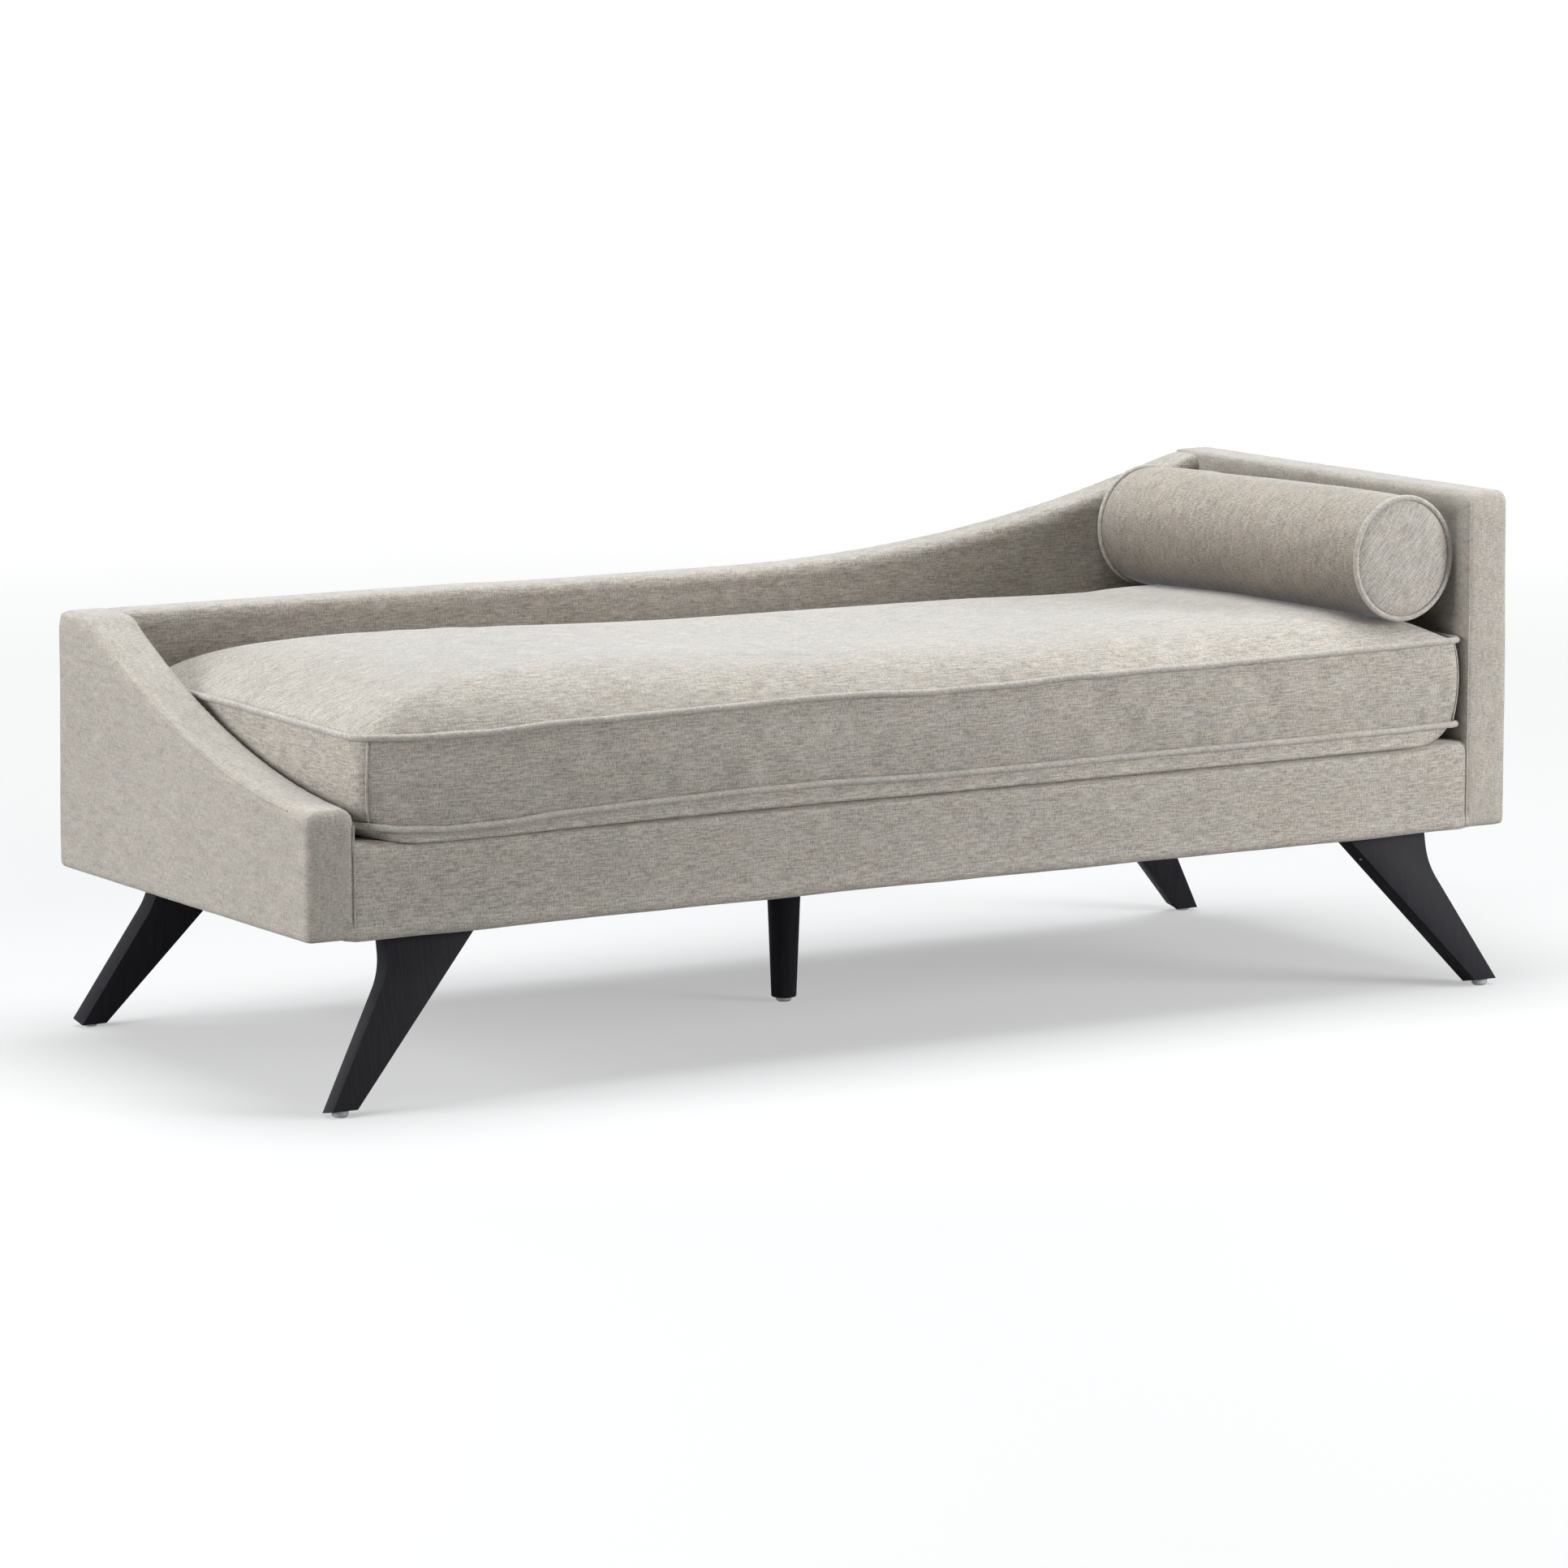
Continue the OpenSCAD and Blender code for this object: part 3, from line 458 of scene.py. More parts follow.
@dataclass(frozen=True)
class Weave:
    """Heathered chenille: a slubbed weft over a finer warp with soft blotches in its pile, its colour
    carrying painted light and shade by the way each face points.
    """

    name: str
    grain: Grain
    colour: Colour = shade(176, 170, 162)
    contrast: float = 1.0
    nap: float = 0.35
    # painted light and shade: the normal dotted with this vector, plus the base below, scales the colour;
    # by default tops are painted lighter and undersides darker
    painted_facing_light: Triple = (0, 0, 0.18)
    bias: float = 0.0
    slubs: float = 1.0
    slub_length: float = 22 * MM
    slub_width: float = 2.1 * MM
    warp_length: float = 9 * MM
    warp_width: float = 1.6 * MM
    stitch: float = 4.4 * MM
    stitch_drift: float = 12.0
    speck_waves: Triple = (620, 680, 1)
    weft_height: float = 0.42
    warp_height: float = 0.42
    speck_height: float = 0.4
    bar_height: float = 0.2
    knot_height: float = 0.14
    dash_height: float = 0.3
    darkest: float = 0.015
    thread_range: float = 0.17
    thread_share: float = 0.74
    brushed_share: float = 0.15
    brushed_waves: Triple = (26, 26, 40)
    broad_share: float = 0.08
    broad_waves: Triple = (5, 5, 6)
    grey_range: tuple[float, float] = (0.55, 1.45)
    brown_range: tuple[float, float] = (0.52, 1.42)
    brown_tint: Triple = (1.03, 0.99, 0.95)
    brown_share: float = 0.6
    brown_waves: Triple = (20, 30, 44)
    roughness: float = 0.92
    shine: float = 0.12
    nap_tint: Colour = (0.88, 0.93, 1)
    relief: float = 0.9 * MM
    # the base scale of that painted light and shade
    painted_light_base: float = 0.94

    def threads(self, sheet: ShaderSheet, place: bpy.types.NodeSocket) -> bpy.types.NodeSocket:
        """Draws the weave in one plane.

        Args:
            sheet: the material's nodes.
            place: coordinates along the weft and across it, in metres.

        Returns:
            The height and lightness of the threads, about 0.5 in the mean.
        """
        laid = sheet.spread(place, (1, 1, 1), self.bias)
        weft = sheet.cloud(sheet.spread(laid, (1 / self.slub_length, 1 / self.slub_width, 1)), 1, 0.5)
        warp = sheet.cloud(sheet.spread(laid, (1 / self.warp_width, 1 / self.warp_length, 1)), 1, 0.5)
        specks = sheet.cloud(sheet.spread(laid, self.speck_waves), 1, 0.6)
        cell = sheet.add("ShaderNodeVectorMath", operation="FLOOR")
        sheet.join(sheet.spread(laid, (2 / self.stitch, 1 / self.slub_width, 1)), cell.inputs[0])
        knots = sheet.add("ShaderNodeTexWhiteNoise", noise_dimensions="2D")
        sheet.join(cell.outputs[0], knots.inputs["Vector"])
        bars = sheet.cloud(sheet.spread(laid, (0.5 / self.slub_length, 0.25 / self.slub_width, 1)), 2, 0.6)
        along = sheet.add("ShaderNodeSeparateXYZ")
        sheet.join(laid, along.inputs[0])
        uneven = sheet.maths("MULTIPLY", weft, self.stitch_drift)
        phase = sheet.maths("MULTIPLY_ADD", along.outputs["X"], math.tau / self.stitch, uneven)
        stitches = sheet.maths("MULTIPLY_ADD", sheet.maths("SINE", phase), 0.5, 0.3)
        dashes = sheet.maths("MULTIPLY", sheet.between(weft, 0.5, 0.7), stitches)
        level = (
            (weft, self.weft_height * self.slubs), (warp, self.warp_height), (specks, self.speck_height),
            (bars, self.bar_height), (knots.outputs["Value"], self.knot_height),
        )
        total = sheet.maths("ADD", 0, 0.5 - sum(0.5 * share for _, share in level))
        for part, share in (*level, (dashes, self.dash_height * self.slubs)):
            total = sheet.maths("MULTIPLY_ADD", part, share, total)
        return total

    def facing(
        self, sheet: ShaderSheet, parts: bpy.types.Node, first: str, second: str
    ) -> bpy.types.NodeSocket:
        """Draws the weave on the faces that look along one axis.

        Args:
            sheet: the material's nodes.
            parts: the object coordinates, split up.
            first: the axis along the weft.
            second: the axis across the weft.

        Returns:
            The threads on those faces.
        """
        flat = sheet.add("ShaderNodeCombineXYZ")
        sheet.join(parts.outputs[first], flat.inputs["X"])
        sheet.join(parts.outputs[second], flat.inputs["Y"])
        return self.threads(sheet, flat.outputs[0])

    def boxed(self, sheet: ShaderSheet, where: bpy.types.Node) -> bpy.types.NodeSocket:
        """Draws the weave on every side of a piece, each side by its own axes.

        Args:
            sheet: the material's nodes.
            where: the coordinates node.

        Returns:
            The threads.
        """
        parts = sheet.add("ShaderNodeSeparateXYZ")
        sheet.join(where.outputs["Object"], parts.inputs[0])
        normal = sheet.add("ShaderNodeSeparateXYZ")
        sheet.join(where.outputs["Normal"], normal.inputs[0])
        upright = self.grain is Grain.UPRIGHT
        planes = (
            ("X", self.facing(sheet, parts, "Y", "Z")),
            ("Y", self.facing(sheet, parts, "Z", "X") if upright else self.facing(sheet, parts, "X", "Z")),
            ("Z", self.facing(sheet, parts, "Y", "X") if upright else self.facing(sheet, parts, "X", "Y")),
        )
        total, weights = None, None
        for axis, threads in planes:
            weight = sheet.maths("POWER", sheet.maths("ABSOLUTE", normal.outputs[axis]), 8)
            part = sheet.maths("MULTIPLY", threads, weight)
            total = part if total is None else sheet.maths("ADD", total, part)
            weights = weight if weights is None else sheet.maths("ADD", weights, weight)
        return sheet.maths("DIVIDE", total, weights)

    def material(self) -> bpy.types.Material:
        """Builds the material.

        Returns:
            The material.
        """
        sheet = ShaderSheet(self.name)
        where = sheet.add("ShaderNodeTexCoord")
        if self.grain is Grain.WRAPPED:
            threads = self.threads(sheet, where.outputs["UV"])
        else:
            threads = self.boxed(sheet, where)
        object_place = where.outputs["Object"]
        blotches_and_painted_facing_light = sheet.cloud(sheet.spread(object_place, self.brushed_waves), 4, 0.62)
        broad = sheet.cloud(sheet.spread(object_place, self.broad_waves), 2, 0.5)
        hue = sheet.cloud(sheet.spread(object_place, self.brown_waves), 3, 0.6)
        half = self.thread_range / self.contrast
        clear = sheet.between(threads, 0.5 - half, 0.5 + half)
        light = sheet.maths("MULTIPLY_ADD", clear, self.thread_share, self.darkest)
        light = sheet.maths("ADD", light, sheet.between(blotches_and_painted_facing_light, 0.3, 0.7, self.brushed_share))
        light = sheet.maths("ADD", light, sheet.between(broad, 0.3, 0.7, self.broad_share))
        grey = sheet.blend(light, *(times(self.colour, share) for share in self.grey_range))
        brown = tuple(c * k for c, k in zip(self.colour, self.brown_tint))
        toned = sheet.blend(light, *(times(brown, share) for share in self.brown_range))
        woven = sheet.blend(sheet.between(hue, 0.4, 0.62, self.brown_share), grey, toned)
        # the colour gets painted light and shade by the way each face points
        sheet.join(self.blotches_and_painted_facing_light(sheet, where, woven), sheet.surface.inputs["Base Color"])
        sheet.set(Roughness=self.roughness, Specular_IOR_Level=self.shine)
        sheet.set(Sheen_Weight=self.nap, Sheen_Roughness=0.4, Sheen_Tint=(*self.nap_tint, 1))
        sheet.emboss(threads, self.relief, 0.35)
        return sheet.material

    def blotches_and_painted_facing_light(
        self, sheet: ShaderSheet, where: bpy.types.Node, woven: bpy.types.NodeSocket
    ) -> bpy.types.NodeSocket:
        """Paints light and shade into the colour: lighter where a face points along the painted light
        vector, darker where it points away.

        Args:
            sheet: the material's nodes.
            where: the coordinates node.
            woven: the colour of the threads.

        Returns:
            The colour with painted light and shade.
        """
        # painted light and shade: the normal's dot with the vector, plus the base, scales the colour
        facing = sheet.add("ShaderNodeVectorMath", operation="DOT_PRODUCT")
        facing.inputs[1].default_value = self.painted_facing_light
        sheet.join(where.outputs["Normal"], facing.inputs[0])
        up = sheet.maths("ADD", facing.outputs["Value"], self.painted_light_base)
        lit = sheet.add("ShaderNodeVectorMath", operation="SCALE")
        sheet.join(woven, lit.inputs[0])
        sheet.join(up, lit.inputs["Scale"])
        return lit.outputs[0]


@dataclass(frozen=True)
class Surface:
    """A plain material with its own streaks, specks or grain."""

    name: str
    colour: Colour
    streaks: Triple = (200, 200, 200)
    contrast: float = 0.15
    roughness: float = 0.7
    metallic: float = 0.0
    relief: float = 0.2 * MM
    coat: float = 0.0
    clear: float = 0.0
    shine: float = 0.5

    def material(self) -> bpy.types.Material:
        """Builds the material.

        Returns:
            The material.
        """
        sheet = ShaderSheet(self.name)
        where = sheet.add("ShaderNodeTexCoord")
        grain = sheet.cloud(sheet.spread(where.outputs["Object"], self.streaks), 4, 0.6)
        level = sheet.between(grain, 0.25, 0.75)
        dark, light = (times(self.colour, 1 + sign * self.contrast) for sign in (-1, 1))
        sheet.join(sheet.blend(level, dark, light), sheet.surface.inputs["Base Color"])
        worn = sheet.between(grain, 0.2, 0.8, 0.16)
        sheet.join(sheet.maths("ADD", worn, self.roughness - 0.08), sheet.surface.inputs["Roughness"])
        sheet.set(Metallic=self.metallic, Coat_Weight=self.coat, Transmission_Weight=self.clear)
        sheet.set(Coat_Roughness=0.25, Specular_IOR_Level=self.shine)
        sheet.emboss(grain, self.relief, 0.4)
        return sheet.material


LEVEL_WEAVE = Weave("greige_chenille", Grain.LEVEL)
# the back: the same chenille in a darker colour as painted shade, its front face painted darker, its rear
# and top painted lighter
BACK_WEAVE_WITH_PAINTED_SHADE = Weave("greige_chenille_on_back_with_painted_shade", Grain.LEVEL, shade(166, 160, 152), painted_facing_light=(0, 0.12, 0.37))
END_WEAVE = Weave("greige_chenille_on_ends", Grain.UPRIGHT, contrast=0.8, slubs=0.4)
# the bolster: a darker colour, partly its own tone and partly painted shade; its top painted lighter and
# its underside painted darker
BOLSTER_WEAVE_WITH_PAINTED_LIGHT = Weave(
    "greige_chenille_round_bolster_with_painted_light", Grain.WRAPPED, shade(150, 143, 134), contrast=1.2,
    painted_facing_light=(0, 0, 0.54), bias=90, slubs=0.5,
)
CAP_WEAVE = Weave(
    "greige_chenille_on_bolster_ends", Grain.WRAPPED, shade(178, 173, 166), contrast=0.75, slubs=1.3
)
BIAS_WEAVE = Weave(
    "greige_chenille_on_the_bias", Grain.WRAPPED, shade(182, 177, 170), contrast=0.8, bias=45, slubs=0.7
)
LACQUER = Surface(
    "espresso_lacquer", shade(44, 43, 47), (260, 18, 18), 0.2, 0.42, relief=0.05 * MM, shine=0.05
)
TIMBER = Surface("sawn_softwood", shade(214, 181, 138), (8, 90, 90), 0.2, 0.75)
UPRIGHT_TIMBER = Surface("sawn_softwood_upright", shade(212, 178, 136), (90, 90, 8), 0.2, 0.75)
CROSS_TIMBER = Surface("sawn_softwood_across", shade(212, 179, 137), (90, 8, 90), 0.2, 0.75)
HARDBOARD = Surface("hardboard", shade(142, 108, 78), (500, 500, 500), 0.18, 0.8)
FOAM = Surface("cut_foam", shade(240, 235, 214), (1400, 1400, 1400), 0.1, 0.95)
FIBRE = Surface("polyester_fibre", shade(246, 246, 242), (60, 700, 700), 0.06, 0.98, relief=1.5 * MM)
WEBBING = Surface("elastic_webbing", shade(72, 66, 60), (700, 700, 700), 0.35, 0.85)
LINING = Surface("black_lining", shade(44, 44, 47), (900, 900, 900), 0.3, 0.9)
NYLON = Surface("zip_nylon", shade(150, 142, 134), (600, 600, 600), 0.15, 0.5)
ZINC = Surface("zinc_plate", shade(176, 180, 184), (300, 300, 300), 0.1, 0.35, 1.0)
BRASS = Surface("turned_brass", shade(205, 172, 104), (300, 300, 300), 0.1, 0.35, 1.0)
GLIDE = Surface("translucent_glide", shade(214, 217, 221), (80, 80, 80), 0.05, 0.32, clear=0.35)


@dataclass
class Wardrobe:
    """Builds each finish once and hands it out."""

    made: dict[str, bpy.types.Material] = field(default_factory=dict)

    def material(self, finish: Weave | Surface) -> bpy.types.Material:
        """Gives the material of a finish.

        Args:
            finish: the finish.

        Returns:
            Its material, made the first time.
        """
        if finish.name not in self.made:
            self.made[finish.name] = finish.material()
        return self.made[finish.name]

    def dress(self, piece: bpy.types.Object, finish: Weave | Surface) -> None:
        """Gives a piece one finish all over."""
        piece.data.materials.clear()
        piece.data.materials.append(self.material(finish))

    def complete(
        self, piece: bpy.types.Object, finish: Weave | Surface, body: str, node: str = "",
        angle: float = 180,
    ) -> bpy.types.Object:
        """Shades and dresses a piece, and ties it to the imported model.

        Args:
            piece: the piece.
            finish: its finish.
            body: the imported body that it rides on.
            node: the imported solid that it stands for, if any.
            angle: the sharpest angle that is shaded smooth, in degrees.

        Returns:
            The piece.
        """
        smooth(piece, angle)
        self.dress(piece, finish)
        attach(piece, body)
        if node:
            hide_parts(node)
        return piece


# The body


def rounded(corners: Sequence[tuple[float, float, float, int]]) -> list[tuple[float, float]]:
    """Section with four rounded corners, anticlockwise from the top right one.

    Args:
        corners: for each corner its place across, its height, its radius and its number of steps.

    Returns:
        The section's points.
    """
    points = []
    signs = ((1, 1), (-1, 1), (-1, -1), (1, -1))
    for quarter, ((x, z, radius, steps), (right, up)) in enumerate(zip(corners, signs)):
        turns = [math.radians(90 * quarter + 90 * i / steps) for i in range(steps + 1)]
        x, z = x - right * radius, z - up * radius
        points += [(x + radius * math.cos(t), z + radius * math.sin(t)) for t in turns]
    return points


@dataclass(frozen=True)
class Body:
    """The upholstered body's main sizes, read from the frame."""

    half_l: float
    half_d: float
    low: float
    deck: float
    back_top: float
    high: float
    panel: float
    roll: float = 15 * MM
    hem: float = 4 * MM
    corner: float = 9 * MM
    drop: float = 20 * MM
    rise_start: float = 100 * MM
    crest_inset: float = 33 * MM
    crest: float = 250 * MM
    foot_crest_inset: float = 21 * MM
    foot_crest: float = 40 * MM
    foot_sweep: float = 1540 * MM
    foot_fall: float = math.radians(28.5)
    join: float = 3 * MM
    slack: float = 2.4 * MM
    sag_from: float = 60 * MM
    sag_to: float = 300 * MM
    hem_steps: int = 3

    @classmethod
    def read(cls) -> "Body":
        """Reads the body's sizes from its packed covers.

        Returns:
            The body.
        """
        foot_low, foot_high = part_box("foot_end_cover")
        head_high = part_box("head_end_cover")[1]
        rail_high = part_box("front_rail_cover")[1]
        return cls(
            half_l=head_high.x,
            half_d=foot_high.y,
            low=foot_low.z,
            deck=rail_high.z,
            back_top=foot_high.z,
            high=head_high.z,
            panel=foot_high.x - foot_low.x,
        )

    @property
    def seat(self) -> float:
        """Half the length between the two ends."""
        return self.half_l - self.panel

    @property
    def back_face(self) -> float:
        """Where the front face of the back stands."""
        return self.half_d - self.panel

    def back_line(self, x: float) -> float:
        """Height of the back's S curve.

        Args:
            x: the place along the length.

        Returns:
            The height.
        """
        crest_end = self.half_l - self.crest_inset
        rise = self.high - self.back_top
        angle = 2 * math.atan(rise / (crest_end - self.rise_start))
        hollow = (crest_end - self.rise_start) / math.sin(angle) - self.crest
        if x < self.rise_start:
            return self.back_top
        if x < self.rise_start + hollow * math.sin(angle):
            return self.back_top + hollow - math.sqrt(hollow**2 - (x - self.rise_start) ** 2)
        away = max(crest_end - x, 0)
        return self.high - self.crest + math.sqrt(self.crest**2 - away**2)

    def foot_line(self, y: float) -> float:
        """Height of the foot end's sweep.

        Args:
            y: the place across the depth.

        Returns:
            The height.
        """
        crest_y = self.back_face - self.foot_crest_inset
        fall_y = crest_y - self.foot_crest * math.sin(self.foot_fall)
        fall_z = self.back_top - self.foot_crest * (1 - math.cos(self.foot_fall))
        sweep_y = fall_y - self.foot_sweep * math.sin(self.foot_fall)
        sweep_z = fall_z + self.foot_sweep * math.cos(self.foot_fall)
        if y > crest_y:
            return self.back_top
        if y > fall_y:
            away = crest_y - y
            return self.back_top - self.foot_crest + math.sqrt(self.foot_crest**2 - away**2)
        return sweep_z - math.sqrt(self.foot_sweep**2 - (y - sweep_y) ** 2)

    def end_line(self, end: End, y: float) -> float:
        """Height of an end's top at a place across the depth."""
        return self.foot_line(y) if end is End.FOOT else self.high

    def inner_roll(self, y: float) -> float:
        """Roll of an end's inner top edge: a sewn join at the back, full at the front."""
        share = max(self.back_face - y, 0) / (self.back_face + self.half_d)
        return self.join + (self.roll - self.join) * share

    def sagging(self, below: float, outward: float) -> float:
        """How far a cover stands out at a distance below its top, where it faces away from the seat."""
        return self.slack * step_up(outward, 0.3, 0.9) * step_up(below, self.sag_from, self.sag_to)


@dataclass
class UpholsteredEnd:
    """The foot end or the head end: a panel along the depth with rolled edges."""

    body: Body
    end: End
    cell: float = 5 * MM
    steps: int = 6
    wave: float = 0.5 * MM
    fine_wave: float = 0.25 * MM
    full_from: float = 240 * MM
    full_to: float = 300 * MM
    pinch: float = 1.2 * MM
    pinch_away: float = 6 * MM
    pinch_width: float = 7 * MM
    pinch_height: float = 16 * MM

    @property
    def node(self) -> str:
        """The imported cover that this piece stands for."""
        return "foot_end_cover" if self.end is End.FOOT else "head_end_cover"

    def stations(self) -> list[float]:
        """Places of the sections from the rear to the front.

        Returns:
            The places across the depth.
        """
        body = self.body
        turns = [math.radians(90 * i / self.steps) for i in range(self.steps)]
        front = [-body.half_d + body.corner * (1 - math.cos(t)) for t in turns]
        inner = body.half_d - body.corner
        middle = spaced(-inner, inner, 64)
        return [-y for y in front] + sorted(middle, reverse=True) + sorted(front, reverse=True)

    def section(self, y: float) -> Loop:
        """The closed section of the panel at one place.

        Args:
            y: the place across the depth.

        Returns:
            The section's points.
        """
        body = self.body
        depth = min(body.half_d - abs(y), body.corner)
        share = 1 - math.sqrt(max(1 - (1 - depth / body.corner) ** 2, 0))
        outer = body.panel / 2 - share * body.corner
        inner = body.panel / 2 - share * body.join
        side = -self.end.value
        rolls = (body.inner_roll(y), body.roll) if side > 0 else (body.roll, body.inner_roll(y))
        right, left = (inner, outer) if side > 0 else (outer, inner)
        top = body.end_line(self.end, y) - share * body.drop
        low = body.low + share * body.hem / 2
        middle = self.end.value * (body.half_l - body.panel / 2)
        points = rounded((
            (right, top, rolls[0], self.steps), (-left, top, rolls[1], self.steps),
            (-left, low, body.hem, body.hem_steps), (right, low, body.hem, body.hem_steps),
        ))
        return [Vector((middle + x, y, z)) for x, z in points]

    def pull(self, point: Vector, normal: Vector) -> float:
        """Height of the cover's waves and sag, less its pinch where it meets the back.

        Args:
            point: the point on the cover.
            normal: the way out from there.

        Returns:
            The height, in metres.
        """
        body = self.body
        wave = self.wave * wander(point, (6, 9, 9), 3.1) + self.fine_wave * wander(point, (40, 40, 40), 8.4)
        below = body.end_line(self.end, point.y) - point.z
        sag = body.sagging(below, max(self.end.value * normal.x, normal.y))
        full = body.slack * step_up(normal.z, 0.2, 0.8) * step_up(point.y, self.full_from, self.full_to)
        beside = (point.y - body.back_face + self.pinch_away) / self.pinch_width
        pinch = self.pinch * math.exp(-(beside**2) - (below / self.pinch_height) ** 2)
        inner = step_up(-self.end.value * normal.x, 0.1, 0.7)
        return wave + sag + (full if self.end is End.FOOT else 0) - inner * pinch

    def build(self, wardrobe: Wardrobe) -> bpy.types.Object:
        """Models and dresses the panel.

        Args:
            wardrobe: the finishes.

        Returns:
            The piece.
        """
        piece = lofted(self.node.replace("cover", "upholstery"), [self.section(y) for y in self.stations()])
        soften(piece, self.cell, 3)
        ripple(piece, self.pull)
        return wardrobe.complete(piece, END_WEAVE, "frame", self.node)


@dataclass
class UpholsteredBack:
    """The back: a panel along the length whose top rises in an S curve."""

    body: Body
    cell: float = 6 * MM
    tuck: float = 14 * MM
    sunk: float = 2.4 * MM
    steps: int = 6
    crease: float = 1.6 * MM
    crease_below: float = 24 * MM
    crease_width: float = 16 * MM
    wave: float = 0.8 * MM
    fine_wave: float = 0.3 * MM
    full_from: float = 200 * MM
    full_to: float = 400 * MM

    def section(self, x: float) -> Loop:
        """The closed section of the back at one place.

        Args:
            x: the place along the length.

        Returns:
            The section's points.
        """
        body = self.body
        half = body.panel / 2
        sunk = self.sunk if abs(x) > body.seat + MM else 0
        top = body.back_line(x) - sunk
        low = body.low + sunk
        middle = body.half_d - half
        points = rounded((
            (half - sunk, top, body.roll, self.steps), (-half + sunk, top, body.roll, self.steps),
            (-half + sunk, low, body.hem, body.hem_steps), (half - sunk, low, body.hem, body.hem_steps),
        ))
        return [Vector((x, middle + y, z)) for y, z in points]

    def pull(self, point: Vector, normal: Vector) -> float:
        """Height of the cover's waves, with level creases under the rolled front edge.

        Args:
            point: the point on the cover.
            normal: the way out from there.

        Returns:
            The height, in metres.
        """
        body = self.body
        below = body.back_line(point.x) - point.z
        front = step_up(-normal.y, 0.2, 0.9)
        near_roll = math.exp(-((below - self.crease_below) / self.crease_width) ** 2)
        crease = front * near_roll * self.crease * wander(point, (6, 7, 75), 5.5)
        wave = self.wave * wander(point, (3, 9, 9), 1.7) + self.fine_wave * wander(point, (30, 40, 40), 2.2)
        full = body.slack * step_up(normal.z, 0.2, 0.8) * step_up(-point.x, self.full_from, self.full_to)
        return crease + wave + full + body.sagging(below, normal.y)

    def build(self, wardrobe: Wardrobe) -> bpy.types.Object:
        """Models and dresses the back.

        Args:
            wardrobe: the finishes.

        Returns:
            The piece.
        """
        places = tucked_places(self.body.seat, self.tuck, 120)
        piece = lofted("back_upholstery", [self.section(x) for x in places])
        soften(piece, self.cell, 2)
        ripple(piece, self.pull)
        return wardrobe.complete(piece, BACK_WEAVE_WITH_PAINTED_SHADE, "frame", "back_cover")


@dataclass
class UpholsteredRail:
    """The front rail: a padded board whose front is flush with the two ends."""

    body: Body
    thick: float
    cell: float = 5 * MM
    tuck: float = 14 * MM
    sunk: float = 1.6 * MM
    square: float = 2 * MM
    steps: int = 6
    press: float = 4.2 * MM
    press_from: float = 25 * MM
    press_to: float = 95 * MM
    press_rear: float = 0.345
    press_front: float = 0.36
    press_below: float = 3 * MM
    press_height: float = 5 * MM
    edge_height: float = 26 * MM
    droop: float = 0.7
    droop_at: float = -0.8
    droop_width: float = 0.16
    wave: float = 0.6 * MM
    padding_inset: float = 1.6 * MM

    @classmethod
    def read(cls, body: Body) -> "UpholsteredRail":
        """Reads the rail's thickness from its packed cover."""
        low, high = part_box("front_rail_cover")
        return cls(body, high.y - low.y)

    def section(self, x: float) -> Loop:
        """The closed section of the rail at one place.

        Args:
            x: the place along the length.

        Returns:
            The section's points.
        """
        body = self.body
        sunk = self.sunk if abs(x) > body.seat + MM else 0
        front, rear = -body.half_d + sunk, -body.half_d + self.thick
        top, low = body.deck - sunk, body.low + sunk
        points = rounded((
            (rear, top, self.square, 2), (front, top, body.roll, self.steps),
            (front, low, body.hem, body.hem_steps), (rear, low, self.square, 2),
        ))
        return [Vector((x, y, z)) for y, z in points]

    def pressed(self, point: Vector) -> float:
        """How far the cushion dents the rail's top front edge at a point.

        Args:
            point: the point on the cover.

        Returns:
            The dent's depth, in metres.
        """
        along = step_up(self.body.seat - abs(point.x), self.press_from, self.press_to)
        front = step_up(-point.y, self.press_rear, self.press_front)
        below = (self.body.deck - self.press_below - point.z) / self.press_height
        return self.press * along * front * math.exp(-(below**2))

    def pull(self, point: Vector, normal: Vector) -> float:
        """Height of the cover's waves, deeper along the bottom edge, less the cushion's dent.

        Args:
            point: the point on the cover.
            normal: the way out from there; not used.

        Returns:
            The height, in metres.
        """
        lower = 1 - step_up(point.z, self.body.low, self.body.low + self.edge_height)
        sag = 1 + self.droop * math.exp(-((point.x - self.droop_at) / self.droop_width) ** 2)
        edge = lower * self.body.slack * (0.5 * wander(point, (8, 2, 9), 6.6) + sag)
        return edge + self.wave * wander(point, (4, 9, 12), 9.2) - self.pressed(point)

    def build(self, wardrobe: Wardrobe) -> list[bpy.types.Object]:
        """Models and dresses the rail and its padding, both dented by the cushion.

        Args:
            wardrobe: the finishes.

        Returns:
            The two pieces.
        """
        places = tucked_places(self.body.seat, self.tuck, 40)
        piece = lofted("front_rail_upholstery", [self.section(x) for x in places])
        soften(piece, self.cell, 2)
        ripple(piece, self.pull)
        padding = inner_copy(piece, "front_rail_padding", self.padding_inset)
        wardrobe.complete(piece, LEVEL_WEAVE, "frame", "front_rail_cover")
        wardrobe.complete(padding, FOAM, "frame", "front_rail_foam")
        return [piece, padding]


def tucked_places(seat: float, tuck: float, count: int) -> list[float]:
    """Places along the seat's half length in a number of steps, and a tuck's way into each end."""
    return [-seat - tuck, -seat - 2 * MM, *spaced(-seat, seat, count), seat + 2 * MM, seat + tuck]


